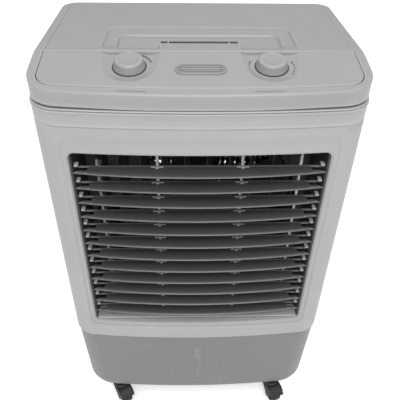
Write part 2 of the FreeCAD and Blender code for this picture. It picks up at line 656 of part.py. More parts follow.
def make_vane(index):
    """One upright swing vane with its pivots, foot lever and link pin."""
    name = f"vane_{index:02d}"
    body = new_body(name)
    blade = sketch(body, name + "_section", "XY_Plane", "vane_low")
    polygon(blade, ("-0.7", "-vane_chord / 2"), ("0.7", "-vane_chord / 2"), ("1.1", "0"),
            ("0.6", "vane_chord / 2"), ("-0.6", "vane_chord / 2"), ("-1.1", "0"))
    extrude(body, name + "_blade", blade, "vane_high - vane_low - 1.5")
    pivot = circle(sketch(body, name + "_pin", "XY_Plane", "mouth_low - 3"), "0", "0", "pin_r")
    extrude(body, name + "_pins", pivot, "mouth_high - mouth_low + 6")
    foot = sketch(body, name + "_foot", "XY_Plane", "vane_low - 4")
    rounded(foot, "-3", "3", "-3", "vane_arm + 3", "2.9")
    extrude(body, name + "_lever", foot, "4")
    stud = circle(sketch(body, name + "_stud", "XY_Plane", "vane_low - 10"), "0", "vane_arm", "1.5")
    extrude(body, name + "_link_pin", stud, "7")
    seat(body, f"({index} - (vanes + 1) / 2) * vane_pitch", "vane_y", "0", Vector(0, 0, 1), "-vane_turn")
    done(body, name)


def make_vane_link():
    """Bar that joins the vanes to the swing crank."""
    body = new_body("vane_link")
    x = "vane_arm * sin(vane_turn)"
    y = "vane_arm * cos(vane_turn)"
    first = f"{x} - (vanes - 1) / 2 * vane_pitch"
    flat = sketch(body, "vane_link_plan", "XY_Plane", "vane_low - 9")
    last = f"{x} + (vanes - 1) / 2 * vane_pitch"
    rounded(flat, f"{first} - 6", f"{last} + 6", f"{y} - 3.5", f"{y} + 3.5", "3.4")
    extrude(body, "vane_link_pad", flat, "4")
    hole = circle(sketch(body, "vane_link_eye", "XY_Plane", "vane_low - 12"), first, y, "1.5 + run")
    eye = extrude(body, "vane_link_hole", hole, "10", hollow=True)
    repeat(body, "vane_link_eyes", [eye], "X_Axis", "(vanes - 1) * vane_pitch", "vanes")
    drive = circle(sketch(body, "crank_eye", "XY_Plane", "vane_low - 12"), x, y, "1.5 + run")
    extrude(body, "crank_eye_hole", drive, "10", hollow=True)
    seat(body, "0", "vane_y", "0")
    done(body, "vane_link_bar")


def make_swing_drive():
    """Geared swing motor under the carrier and the crank that moves the vane link."""
    can = rod("swing_can", "22", "18", "0", "vane_y", "mouth_low - carrier_wall - 22")
    neck = rod("swing_neck", "8", "4", "0", "vane_y", "mouth_low - carrier_wall - 4")
    ears = box("swing_ears", ("-30", "30"), ("vane_y - 6", "vane_y + 6"),
               ("mouth_low - carrier_wall - 6", "mouth_low - carrier_wall"))
    bore = rod("swing_bore", "3 + run", "12", "0", "vane_y", "mouth_low - carrier_wall - 10")
    done(cut("swing_motor_solid", fuse("swing_block", can, neck, ears), bore), "swing_motor")
    body = new_body("crank")
    plate = sketch(body, "crank_plan", "XY_Plane", "mouth_low + 0.5")
    rounded(plate, "-5", "5", "-5", "vane_arm + 4", "3.9")
    extrude(body, "crank_plate", plate, "3.5")
    disc = circle(sketch(body, "crank_disc", "XY_Plane", "mouth_low + 0.5"), "0", "0", "14.5")
    extrude(body, "crank_weight", disc, "3.5")
    shaft = circle(sketch(body, "crank_shaft", "XY_Plane", "mouth_low - carrier_wall - 8"), "0", "0", "3")
    extrude(body, "crank_axle", shaft, "carrier_wall + 9")
    stud = circle(sketch(body, "crank_stud", "XY_Plane", "mouth_low + 2"), "0", "vane_arm", "1.5")
    extrude(body, "crank_pin", stud, "14")
    seat(body, "0", "vane_y", "0", Vector(0, 0, 1), "-vane_turn")
    done(body, "swing_crank")


# ---------------------------------------------------------------- fan

def make_fan():
    """Shroud with its collar, five-bladed axial rotor, motor and motor bracket."""
    body = new_body("shroud")
    plate = sketch(body, "shroud_plate", "XZ_Plane", "-60")
    rectangle(plate, "-case_half + sheet + 1", "case_half - sheet - 1", "case_low + 6", "ring_low - 4")
    extrude(body, "shroud_pad", plate, "4")
    ring = sketch(body, "shroud_collar", "XZ_Plane", "-60")
    circle(ring, "0", "fan_z", "shroud_r + 4")
    extrude(body, "shroud_ring", ring, "64")
    bore = sketch(body, "shroud_mouth", "XZ_Plane", "-61")
    circle(bore, "0", "fan_z", "shroud_r")
    extrude(body, "shroud_bore", bore, "70", hollow=True)
    done(body, "fan_shroud")

    rotor = new_body("rotor")
    hub = circle(sketch(rotor, "hub_face", "XZ_Plane", "-20"), "0", "0", "hub_r")
    extrude(rotor, "hub", hub, "40")
    sections = []
    for place, height, half, drop in (("root", "hub_r - 6", "34", "17"), ("tip", "fan_r - 2", "62", "16")):
        flat = sketch(rotor, f"blade_{place}", "XY_Plane", height)
        sections.append(polygon(flat, (f"-{half}", f"-{drop} - 1"), (half, f"{drop} - 1"),
                                (half, f"{drop} + 1"), (f"-{half}", f"-{drop} + 1")))
    blade = rotor.newObject("PartDesign::AdditiveLoft", "blade")
    blade.Profile = sections[0]
    blade.Sections = [sections[1]]
    blade.Ruled = True
    ring_of_blades = rotor.newObject("PartDesign::PolarPattern", "blade_ring")
    ring_of_blades.Originals = [blade]
    ring_of_blades.Axis = (datum(rotor, "Y_Axis"), [""])
    ring_of_blades.Angle = 360
    bind(ring_of_blades, Occurrences="blades")
    rotor.Tip = ring_of_blades
    socket = circle(sketch(rotor, "shaft_socket", "XZ_Plane", "-30"), "0", "0", "6")
    extrude(rotor, "shaft_hole", socket, "60", hollow=True)
    seat(rotor, "0", "fan_y", "fan_z")
    tip_ring = rod("rotor_envelope", "fan_r", "60", "0", "fan_y - 30", "fan_z", "Y")
    shaft = rod("rotor_shaft", "6", "44", "0", "fan_y - 14", "fan_z", "Y")
    done(fuse("fan_solid", common("rotor_trimmed", rotor, tip_ring), shaft), "fan_rotor")

    can = rod("motor_can", "46", "52", "0", "2", "fan_z", "Y")
    bore = rod("motor_bore", "6 + run", "24", "0", "0", "fan_z", "Y")
    done(cut("motor", can, bore), "fan_motor")

    arms = [box("arm_level", ("-shroud_r - 12", "shroud_r + 12"), ("54", "58"),
                ("fan_z - 14", "fan_z + 14")),
            box("arm_upright", ("-14", "14"), ("54", "58"),
                ("fan_z - shroud_r - 12", "fan_z + shroud_r + 12"))]
    for side, sign in (("left", "-1"), ("right", "1")):
        arms.append(box(f"foot_{side}", (f"{sign} * (shroud_r + 10) - 2", f"{sign} * (shroud_r + 10) + 2"),
                        ("-56", "56"), ("fan_z - 14", "fan_z + 14")))
    for side, sign in (("low", "-1"), ("high", "1")):
        arms.append(box(f"foot_{side}", ("-14", "14"), ("-56", "56"),
                        (f"fan_z + {sign} * (shroud_r + 10) - 2", f"fan_z + {sign} * (shroud_r + 10) + 2")))
    done(fuse("bracket", *arms), "motor_bracket")


# ---------------------------------------------------------------- water side

def make_cassette():
    """Rear cassette: louvred grille and the wet pad that it carries."""
    body = new_body("grille")
    rim = sketch(body, "grille_rim", "XZ_Plane", "160.5")
    rectangle(rim, "-pad_half - 5", "pad_half + 5", "pad_low - 5", "pad_high + 5")
    extrude(body, "grille_pad", rim, "19.5")
    cup = sketch(body, "grille_cup", "XZ_Plane", "160.5")
    rectangle(cup, "-pad_half", "pad_half", "pad_low", "pad_high")
    extrude(body, "grille_hollow", cup, "15", hollow=True)
    for side, low, high in (("left", "-pad_half + 8", "-6"), ("right", "6", "pad_half - 8")):
        slot = sketch(body, f"grille_slot_{side}", "XZ_Plane", "170")
        rectangle(slot, low, high, "pad_low + 9", "pad_low + 21")
        first = extrude(body, f"grille_slot_cut_{side}", slot, "12", hollow=True)
        repeat(body, f"grille_slots_{side}", [first], "Z_Axis", "392", "21")
    done(body, "rear_grille")
    done(box("pad_block", ("-pad_half + 0.5", "pad_half - 0.5"), ("122", "175"),
             ("pad_low + 0.5", "pad_high - 0.5")), "cooling_pad")


def make_water_parts():
    """Distributor trough, pump and riser pipe."""
    body = new_body("trough")
    flat = rectangle(sketch(body, "trough_plan", "XY_Plane", "722"), "-205", "205", "124", "158")
    extrude(body, "trough_pad", flat, "18")
    cup = rectangle(sketch(body, "trough_cup", "XY_Plane", "725"), "-202", "202", "127", "155")
    extrude(body, "trough_hollow", cup, "20", hollow=True)
    drip = circle(sketch(body, "trough_drip", "XY_Plane", "720"), "-190", "141", "2")
    first = extrude(body, "trough_drips", drip, "8", hollow=True)
    repeat(body, "trough_drip_row", [first], "X_Axis", "380", "20")
    done(body, "water_distributor")

    case = box("pump_case", ("195", "229"), ("100", "146"), ("73", "118"))
    spout = rod("pump_spout", "8", "14", "221", "124", "118")
    bore = rod("pump_bore", "5.6", "12", "221", "124", "121")
    done(cut("pump", fuse("pump_block", case, spout), bore), "water_pump")

    pipe = new_body("riser")
    route = sketch(pipe, "riser_route", "XZ_Plane")
    low = 122
    high = 732 - low
    bend = 12
    reach = 15.5
    route.addGeometry(Part.LineSegment(Vector(0, 0), Vector(0, high - bend)), False)
    turn = arc_between(route, Vector(-bend, high - bend), Vector(0, high - bend), Vector(-bend, high), bend)
    route.addGeometry(Part.LineSegment(Vector(-bend, high), Vector(-reach, high)), False)
    route.addConstraint(Sketcher.Constraint("Tangent", 0, 2, turn, 1))
    route.addConstraint(Sketcher.Constraint("Tangent", turn, 2, 2, 1))
    bore_and_wall = sketch(pipe, "riser_section", "XY_Plane")
    circle(bore_and_wall, "0", "0", "5.5")
    circle(bore_and_wall, "0", "0", "4")
    sweep = pipe.newObject("PartDesign::AdditivePipe", "riser_sweep")
    sweep.Profile = bore_and_wall
    sweep.Spine = (route, [])
    seat(pipe, "221", "124", f"{low}")
    done(pipe, "riser_pipe")


def make_tank():
    """Water tank with a level window, a drain port and caster pads."""
    foot = ("tank_low", "tank_foot_half", "tank_foot_deep")
    rim = ("case_low", "tank_half", "tank_deep")
    outside = hull("tank_outside", foot, rim)
    inside = hull("tank_inside", ("tank_low + sheet", "tank_foot_half", "tank_foot_deep"),
                  ("case_low + 1", "tank_half", "tank_deep"), "sheet")
    pads = []
    sockets = []
    for front in ("front", "rear"):
        for side in ("left", "right"):
            x = ("-" if side == "left" else "") + "caster_x"
            y = ("-" if front == "front" else "") + "caster_y"
            pads.append(rod(f"pad_{front}_{side}", "17", "16", x, y, "tank_low"))
            sockets.append(rod(f"socket_{front}_{side}", "5.05", "14", x, y, "tank_low - 1"))
    neck = rod("drain_neck", "12", "10", "-120", "tank_foot_deep - 8", "92", "Y")
    port = rod("drain_port", "7", "30", "-120", "tank_foot_deep - 20", "92", "Y")
    window = box("window_hole", ("-5", "5"), ("-case_deep - 5", "-tank_foot_deep + 12"), ("122", "223"))
    solid = fuse("tank_solid", cut("tank_shell", outside, inside), *pads, neck)
    done(cut("tank", solid, port, window, *sockets), "water_tank")
    pane = box("level_pane", ("-6.2", "6.2"), ("-1.4", "0"), ("0", "110"))
    plug_in = box("level_plug", ("-4.9", "4.9"), ("-0.5", "3"), ("5.5", "104"))
    lean = "atan((tank_deep - tank_foot_deep) / (case_low - tank_low))"
    face = "-tank_foot_deep - (117 - tank_low) * (tank_deep - tank_foot_deep) / (case_low - tank_low)"
    clear = fuse("level_solid", pane, plug_in)
    done(seat(clear, "0", face, "117", Vector(1, 0, 0), lean), "level_window")
    cap = rod("plug_cap", "13", "3.5", "-120", "tank_foot_deep + 3.5", "92", "Y")
    stem = rod("plug_stem", "6.9", "12", "-120", "tank_foot_deep - 8", "92", "Y")
    done(fuse("plug", cap, stem), "drain_plug")


def make_casters():
    """Four swivel casters; each fork has its stem and axle pin in one piece."""
    headings = {"front_left": 212, "front_right": 200, "rear_left": 25, "rear_right": -20}
    for place, heading in headings.items():
        front, side = place.split("_")
        x = ("-" if side == "left" else "") + "caster_x"
        y = ("-" if front == "front" else "") + "caster_y"
        crown = rod(f"crown_{place}", "14", "6", "0", "0", "wheel_r + 26")
        stem = rod(f"stem_{place}", "5", "34", "0", "0", "wheel_r + 26")
        collar = rod(f"collar_{place}", "9", "tank_low - wheel_r - 32.5", "0", "0", "wheel_r + 32")
        top = box(f"bridge_{place}", ("-fork_half", "fork_half"), ("-12", "trail + 8"),
                  ("wheel_r + 23", "wheel_r + 27"))
        cheeks = [box(f"cheek_{place}_{name}", (low, high), ("trail - 8", "trail + 8"),
                      ("wheel_r - 8", "wheel_r + 24"))
                  for name, low, high in (("left", "-fork_half", "3.5 - fork_half"),
                                          ("right", "fork_half - 3.5", "fork_half"))]
        axle = rod(f"axle_{place}", "3", "2 * fork_half", "-fork_half", "trail", "wheel_r", "X")
        fork = fuse(f"fork_{place}", crown, stem, collar, top, *cheeks, axle)
        done(seat(fork, x, y, "0", Vector(0, 0, 1), str(heading)), f"caster_fork_{place}")
        wheel = new_body(f"wheel_{place}")
        half = sketch(wheel, f"wheel_section_{place}", "XY_Plane")
        polygon(half, ("-wheel_wide / 2", "3 + run"), ("wheel_wide / 2", "3 + run"),
                ("wheel_wide / 2", "wheel_r - 2"), ("wheel_wide / 2 - 2", "wheel_r"),
                ("2 - wheel_wide / 2", "wheel_r"), ("-wheel_wide / 2", "wheel_r - 2"))
        spin(wheel, f"wheel_turned_{place}", half, "X_Axis")
        seat(wheel, f"{x} - trail * sin({heading})", f"{y} + trail * cos({heading})", "wheel_r",
             Vector(0, 0, 1), str(heading))
        done(wheel, f"caster_wheel_{place}")


# ---------------------------------------------------------------- build, test and write

make_top_cover()
make_fill_lid()
make_control_panel()
make_badge()
make_controls()
make_upper_ring()
make_front_frame()
make_cabinet()
make_screws()
make_cord_gland()
make_carrier()
for count in range(1, round(number("slats")) + 1):
    make_slat(count)
make_slat_link()
for count in range(1, round(number("vanes")) + 1):
    make_vane(count)
make_vane_link()
make_swing_drive()
make_fan()
make_cassette()
make_water_parts()
make_tank()
make_casters()
doc.recompute()

for thing in doc.Objects:
    if "Invalid" in thing.State or "Error" in thing.State:
        raise RuntimeError(f"{thing.Name} did not compute: {thing.State}")

os.makedirs("parts", exist_ok=True)
for piece in pieces:
    shape = piece.Shape
    if shape.isNull() or not shape.isValid() or not shape.Solids:
        raise RuntimeError(f"{piece.Label} has no valid solid")
    shape.exportStep(f"parts/{piece.Label}.step")
    box_size = shape.BoundBox
    print(f"{piece.Label:28s} {len(shape.Solids)} solid(s) {shape.Volume / 1000:9.1f} cm3 "
          f"x {box_size.XMin:7.1f} {box_size.XMax:7.1f} y {box_size.YMin:7.1f} {box_size.YMax:7.1f} "
          f"z {box_size.ZMin:7.1f} {box_size.ZMax:7.1f}")
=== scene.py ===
"""Looks of a portable evaporative cooler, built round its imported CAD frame.

Sizes inside the classes are millimetres in the cooler's own frame: +X to the user's right, +Y to
the back, +Z up, the origin on the floor under the cabinet. Pieces are written in metres.
"""

import json
import logging
import math
from collections.abc import Callable, Sequence
from dataclasses import dataclass
from enum import Enum

import bmesh
import bpy
from mathutils import Matrix, Vector


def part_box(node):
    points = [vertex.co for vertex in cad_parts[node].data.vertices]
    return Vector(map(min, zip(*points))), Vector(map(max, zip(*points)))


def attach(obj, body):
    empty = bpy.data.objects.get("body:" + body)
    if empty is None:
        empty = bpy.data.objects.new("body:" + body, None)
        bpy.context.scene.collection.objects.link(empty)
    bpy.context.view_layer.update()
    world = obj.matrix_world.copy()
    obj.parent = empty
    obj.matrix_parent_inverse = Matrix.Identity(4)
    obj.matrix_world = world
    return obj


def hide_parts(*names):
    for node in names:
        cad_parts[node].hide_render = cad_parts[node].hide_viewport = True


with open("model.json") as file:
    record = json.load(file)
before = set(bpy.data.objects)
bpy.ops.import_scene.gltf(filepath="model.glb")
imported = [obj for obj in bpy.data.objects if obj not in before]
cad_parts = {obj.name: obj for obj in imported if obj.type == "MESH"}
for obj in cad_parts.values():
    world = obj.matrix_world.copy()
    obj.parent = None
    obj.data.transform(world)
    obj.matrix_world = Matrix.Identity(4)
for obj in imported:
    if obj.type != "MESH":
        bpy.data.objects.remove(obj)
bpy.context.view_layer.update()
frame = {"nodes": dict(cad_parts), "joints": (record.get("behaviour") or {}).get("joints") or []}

MM = 0.001
FRONT_CORNER = 52.0
HOUSING = "housing"
Flat = tuple[float, float]
Point = tuple[float, float, float]

log = logging.getLogger("cooler")


# ---------------------------------------------------------------- places taken from the frame

@dataclass(frozen=True)
class Extent:
    """Box of a CAD node, in millimetres."""

    low: Vector
    high: Vector

    @classmethod
    def of(cls, node: str) -> "Extent":
        """Box of the named CAD node at rest."""
        low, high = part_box(node)
        return cls(low / MM, high / MM)

    @property
    def centre(self) -> Vector:
        """Middle of the box."""
        return (self.low + self.high) / 2


def joint_place(name: str) -> tuple[Vector, Vector]:
    """Find a joint of the frame.

    Args:
        name: the joint's name.

    Returns:
        The joint's point in millimetres and its unit axis.
    """
    joint = next(j for j in frame["joints"] if j["name"] == name)
    return Vector(joint["pos_m"]) / MM, Vector(joint["axis"]).normalized()


def ease(value: float, start: float, end: float) -> float:
    """Smooth step from 0 at start to 1 at end."""
    t = min(1.0, max(0.0, (value - start) / (end - start)))
    return t * t * (3 - 2 * t)


# ---------------------------------------------------------------- shader groups

class Wiring:
    """Short way to add and join nodes in one node tree."""

    def __init__(self, tree: bpy.types.NodeTree) -> None:
        self.tree = tree

    def node(self, kind: str, **settings: object) -> bpy.types.Node:
        """Add a node.

        Args:
            kind: the node's type name.
            settings: attributes of the node; a name that is one of its inputs sets that input.

        Returns:
            The node.
        """
        made = self.tree.nodes.new(kind)
        for name, value in settings.items():
            label = name.replace("_", " ")
            if label in made.inputs:
                self.feed(made.inputs[label], value)
            else:
                setattr(made, name, value)
        return made

    def feed(self, socket: bpy.types.NodeSocket, value: object) -> None:
        """Link an output to a socket, or set the socket's own value."""
        if isinstance(value, bpy.types.NodeSocket):
            self.tree.links.new(value, socket)
        else:
            socket.default_value = value

    def math(self, operation: str, first: object, second: object,
             clamp: bool = False) -> bpy.types.NodeSocket:
        """Result of a Math node on two values or outputs."""
        made = self.tree.nodes.new("ShaderNodeMath")
        made.operation = operation
        made.use_clamp = clamp
        self.feed(made.inputs[0], first)
        self.feed(made.inputs[1], second)
        return made.outputs[0]

    def blend(self, mode: str, share: object, first: object, second: object) -> bpy.types.NodeSocket:
        """Colour output of a Mix node."""
        made = self.tree.nodes.new("ShaderNodeMix")
        made.data_type = "RGBA"
        made.blend_type = mode
        self.feed(made.inputs[0], share)
        self.feed(made.inputs[6], first)
        self.feed(made.inputs[7], second)
        return made.outputs[2]

    def remap(self, value: object, low: float, high: float, to_low: float,
              to_high: float) -> bpy.types.NodeSocket:
        """Output of a clamped Map Range node."""
        made = self.node("ShaderNodeMapRange", Value=value)
        for socket, number in zip(list(made.inputs)[1:5], (low, high, to_low, to_high)):
            socket.default_value = number
        return made.outputs[0]


def new_group(name: str, inputs: dict[str, tuple[str, object]],
              outputs: dict[str, str]) -> tuple[Wiring, dict, dict]:
    """Start a shader node group.

    Args:
        name: the group's name.
        inputs: socket name to its type and default.
        outputs: socket name to its type.

    Returns:
        The group's wiring, its inputs by name as outputs of the Group Input node, and the sockets
        of the Group Output node by name.
    """
    tree = bpy.data.node_groups.new(name, "ShaderNodeTree")
    for label, (kind, default) in inputs.items():
        socket = tree.interface.new_socket(label, in_out="INPUT", socket_type=kind)
        socket.default_value = default
    for label, kind in outputs.items():
        tree.interface.new_socket(label, in_out="OUTPUT", socket_type=kind)
    start = tree.nodes.new("NodeGroupInput")
    end = tree.nodes.new("NodeGroupOutput")
    return Wiring(tree), dict(start.outputs.items()), dict(end.inputs.items())


COLOUR, FLOAT, VECTOR = "NodeSocketColor", "NodeSocketFloat", "NodeSocketVector"


def moulded_grain() -> bpy.types.NodeTree:
    """Fine spark-eroded grain with faint flow mottling, for every moulded surface."""
    known = bpy.data.node_groups.get("Moulded grain")
    if known:
        return known
    net, given, out = new_group(
        "Moulded grain",
        {"Colour": (COLOUR, (0.5, 0.5, 0.5, 1)), "Grain per metre": (FLOAT, 900.0),
         "Depth": (FLOAT, 0.00002), "Mottle": (FLOAT, 0.05), "Roughness": (FLOAT, 0.45)},
        {"Colour": COLOUR, "Roughness": FLOAT, "Normal": VECTOR})
    place = net.node("ShaderNodeTexCoord").outputs["Object"]
    fine = net.node("ShaderNodeTexNoise", Vector=place, Scale=given["Grain per metre"], Detail=3.0)
    flow = net.node("ShaderNodeTexNoise", Vector=place, Scale=9.0, Detail=4.0, Distortion=0.6)
    speck = net.node("ShaderNodeTexNoise", Vector=place, Scale=160.0, Detail=2.0)
    soft = net.remap(flow.outputs["Fac"], 0.3, 0.7, -1.0, 1.0)
    small = net.remap(speck.outputs["Fac"], 0.3, 0.7, -0.5, 0.5)
    swing = net.math("MULTIPLY", net.math("ADD", soft, small), given["Mottle"])
    gain = net.math("ADD", swing, 1.0)
    tint = net.node("ShaderNodeCombineColor", Red=gain, Green=gain, Blue=gain).outputs[0]
    net.feed(out["Colour"], net.blend("MULTIPLY", 1.0, given["Colour"], tint))
    uneven = net.math("ADD", net.math("MULTIPLY", small, 0.18), 1.0)
    rough = net.math("MULTIPLY", uneven, given["Roughness"])
    net.feed(out["Roughness"], rough)
    bump = net.node("ShaderNodeBump", Strength=1.0, Distance=given["Depth"], Height=fine.outputs["Fac"])
    net.feed(out["Normal"], bump.outputs[0])
    return net.tree


def painted_edge_light_and_hollow_shade() -> bpy.types.NodeTree:
    """Convex edges lighter as a painted highlight and hollows darker as painted shade, found from
    pointiness.
    """
    known = bpy.data.node_groups.get("Painted edge highlight and hollow shade")
    if known:
        return known
    net, given, out = new_group(
        "Painted edge highlight and hollow shade",
        {"Colour": (COLOUR, (0.5, 0.5, 0.5, 1)), "Edge": (FLOAT, 0.2), "Hollow": (FLOAT, 0.3)},
        {"Colour": COLOUR, "Mask": FLOAT})
    point = net.node("ShaderNodeNewGeometry").outputs["Pointiness"]
    # Painted highlight on convex edges and painted shade in hollows, from pointiness.
    edge = net.remap(point, 0.505, 0.56, 0.0, 1.0)
    hollow_shade = net.remap(point, 0.495, 0.44, 0.0, 1.0)
    edge_highlight = net.math("MULTIPLY", edge, given["Edge"])
    light = net.blend("SCREEN", edge_highlight, given["Colour"], (0.8, 0.8, 0.8, 1))
    shade = net.math("MULTIPLY", hollow_shade, given["Hollow"])
    painted_shade = net.blend("MULTIPLY", shade, light, (0.25, 0.25, 0.25, 1))
    net.feed(out["Colour"], painted_shade)
    net.feed(out["Mask"], edge)
    return net.tree


def settled_dust() -> bpy.types.NodeTree:
    """Pale dust in broken patches, mostly on faces that look up."""
    known = bpy.data.node_groups.get("Settled dust")
    if known:
        return known
    net, given, out = new_group(
        "Settled dust",
        {"Colour": (COLOUR, (0.1, 0.1, 0.1, 1)), "Amount": (FLOAT, 0.1), "Roughness": (FLOAT, 0.5)},
        {"Colour": COLOUR, "Roughness": FLOAT})
    place = net.node("ShaderNodeTexCoord").outputs["Object"]
    cloud = net.node("ShaderNodeTexNoise", Vector=place, Scale=45.0, Detail=6.0).outputs["Fac"]
    patch = net.remap(cloud, 0.42, 0.7, 0.0, 1.0)
    normal = net.node("ShaderNodeNewGeometry").outputs["Normal"]
    up = net.node("ShaderNodeSeparateXYZ", Vector=normal).outputs["Z"]
    lying = net.remap(up, -0.2, 0.9, 0.15, 1.0)
    mask = net.math("MULTIPLY", net.math("MULTIPLY", patch, lying), given["Amount"], True)
    net.feed(out["Colour"], net.blend("MIX", mask, given["Colour"], (0.42, 0.41, 0.39, 1)))
    net.feed(out["Roughness"], net.math("ADD", given["Roughness"], net.math("MULTIPLY", mask, 0.4), True))
    return net.tree


# ---------------------------------------------------------------- finishes

class Grip(Enum):
    """How a finish takes light besides its colour."""

    MATT = 0.0
    SATIN = 0.08


def linear(shade: float) -> tuple[float, float, float, float]:
    """Neutral colour from a perceived grey between 0 and 1."""
    value = shade / 12.92 if shade <= 0.04045 else ((shade + 0.055) / 1.055) ** 2.4
    return value, value, value, 1.0


class Finish:
    """Something that a piece can be made of; each kind wires its own shader."""

    name: str

    def material(self) -> bpy.types.Material:
        """Build the material, or find it if it is built already."""
        known = bpy.data.materials.get(self.name)
        if known:
            return known
        made = bpy.data.materials.new(self.name)
        made.use_nodes = True
        self.wire(Wiring(made.node_tree), made.node_tree.nodes["Principled BSDF"])
        return made

    def wire(self, net: Wiring, shader: bpy.types.Node) -> None:
        """Wire the finish's nodes into its Principled BSDF."""
        raise NotImplementedError


@dataclass(frozen=True)
class Plastic(Finish):
    """Injection moulded plastic with grain, mottling, a painted highlight on its edges and painted shade in
    its hollows.

    The fields are its name, perceived grey, roughness, sheen of its skin, grain lines per metre,
    grain depth in metres, mottling, painted edge highlight, painted shade in hollows and dust.
    """

    name: str
    shade: float
    roughness: float
    grip: Grip = Grip.SATIN
    grain: float = 900.0
    depth: float = 0.00002
    mottle: float = 0.02
    # edge: strength of the painted highlight on convex edges; the field below sets the painted shade in
    # hollows.
    edge: float = 0.12
    hollow_shade: float = 0.35
    dust: float = 0.0

    def wire(self, net: Wiring, shader: bpy.types.Node) -> None:
        """Grain, painted edge highlights, painted shade in hollows and dust into the shader."""
        grain = net.node("ShaderNodeGroup", node_tree=moulded_grain())
        for label, value in (("Colour", linear(self.shade)), ("Grain per metre", self.grain),
                             ("Depth", self.depth), ("Mottle", self.mottle), ("Roughness", self.roughness)):
            net.feed(grain.inputs[label], value)
        # Painted highlight on convex edges and painted shade in hollows.
        painted_light_and_shade = net.node("ShaderNodeGroup", node_tree=painted_edge_light_and_hollow_shade())
        for label, value in (("Colour", grain.outputs["Colour"]), ("Edge", self.edge),
                             ("Hollow", self.hollow_shade)):
            net.feed(painted_light_and_shade.inputs[label], value)
        colour, rough = painted_light_and_shade.outputs["Colour"], grain.outputs["Roughness"]
        if self.dust:
            dusty = net.node("ShaderNodeGroup", node_tree=settled_dust())
            for label, value in (("Colour", colour), ("Amount", self.dust), ("Roughness", rough)):
                net.feed(dusty.inputs[label], value)
            colour, rough = dusty.outputs["Colour"], dusty.outputs["Roughness"]
        net.feed(shader.inputs["Base Color"], colour)
        net.feed(shader.inputs["Roughness"], rough)
        net.feed(shader.inputs["Normal"], grain.outputs["Normal"])
        shader.inputs["Coat Weight"].default_value = self.grip.value
        shader.inputs["Coat Roughness"].default_value = 0.25


@dataclass(frozen=True)
class Metal(Finish):
    """Pressed or turned metal with fine brushing and dull patches."""

    name: str
    shade: float
    roughness: float
    metallic: float = 1.0
    brushing: float = 420.0
    # Strength of the painted highlight on convex edges.
    edge: float = 0.35

    def wire(self, net: Wiring, shader: bpy.types.Node) -> None:
        """Brushing, dull patches, painted edge highlights and painted shade in hollows into the shader."""
        place = net.node("ShaderNodeTexCoord").outputs["Object"]
        drawn = net.node("ShaderNodeMapping", Vector=place, Scale=(1.0, 1.0, 0.06))
        lines = net.node("ShaderNodeTexNoise", Vector=drawn.outputs[0], Scale=self.brushing, Detail=4.0)
        cloud = net.node("ShaderNodeTexNoise", Vector=place, Scale=60.0, Detail=3.0)
        # Painted highlight on convex edges and painted shade in hollows.
        painted_light_and_shade = net.node("ShaderNodeGroup", node_tree=painted_edge_light_and_hollow_shade())
        net.feed(painted_light_and_shade.inputs["Colour"], linear(self.shade))
        net.feed(painted_light_and_shade.inputs["Edge"], self.edge)
        net.feed(shader.inputs["Base Color"], painted_light_and_shade.outputs["Colour"])
        dull = net.remap(cloud.outputs["Fac"], 0.35, 0.7, self.roughness * 0.8, self.roughness * 1.3)
        net.feed(shader.inputs["Roughness"], dull)
        bump = net.node("ShaderNodeBump", Strength=0.5, Distance=0.00003, Height=lines.outputs["Fac"])
        net.feed(shader.inputs["Normal"], bump.outputs[0])
        shader.inputs["Metallic"].default_value = self.metallic


@dataclass(frozen=True)
class SmokedWindow(Finish):
    """Smoked clear plastic that shows the dark water behind it, darker towards the foot."""

    name: str
    foot: float
    head: float
    low: float
    high: float

    def wire(self, net: Wiring, shader: bpy.types.Node) -> None:
        """Darkening towards the foot, haze and a glossy coat into the shader."""
        place = net.node("ShaderNodeTexCoord").outputs["Object"]
        height = net.node("ShaderNodeSeparateXYZ", Vector=place).outputs["Z"]
        haze = net.node("ShaderNodeTexNoise", Vector=place, Scale=70.0, Detail=4.0).outputs["Fac"]
        level = net.remap(height, self.low * MM, self.high * MM, 0.0, 1.0)
        share = net.math("ADD", level, net.remap(haze, 0.3, 0.7, -0.08, 0.08), True)
        colour = net.blend("MIX", share, linear(self.foot), linear(self.head))
        net.feed(shader.inputs["Base Color"], colour)
        net.feed(shader.inputs["Roughness"], net.remap(haze, 0.3, 0.7, 0.16, 0.3))
        shader.inputs["Coat Weight"].default_value = 0.5
        shader.inputs["Coat Roughness"].default_value = 0.08


@dataclass(frozen=True)
class PadPaper(Finish):
    """Resin-stiffened cellulose paper of the wet pad, fibrous and blotchy."""

    name: str

    def wire(self, net: Wiring, shader: bpy.types.Node) -> None:
        """Blots and fibres into the shader."""
        place = net.node("ShaderNodeTexCoord").outputs["Object"]
        blot = net.node("ShaderNodeTexNoise", Vector=place, Scale=28.0, Detail=5.0).outputs["Fac"]
        fibre = net.node("ShaderNodeTexNoise", Vector=place, Scale=1400.0, Detail=4.0).outputs["Fac"]
        share = net.remap(blot, 0.3, 0.7, 0.0, 1.0)
        net.feed(shader.inputs["Base Color"],
                 net.blend("MIX", share, (0.15, 0.11, 0.065, 1), (0.25, 0.19, 0.12, 1)))
        net.feed(shader.inputs["Roughness"], net.remap(fibre, 0.3, 0.7, 0.75, 0.95))
        bump = net.node("ShaderNodeBump", Strength=0.6, Distance=0.00015, Height=fibre)
        net.feed(shader.inputs["Normal"], bump.outputs[0])


COVER = Plastic("Cover grey", 0.535, 0.42)
# Lighter copy of the cover grey: painted highlight on the knob's pointer dot.
COVER_PAINTED_HIGHLIGHT = Plastic("Cover grey painted highlight", 0.70, 0.40)
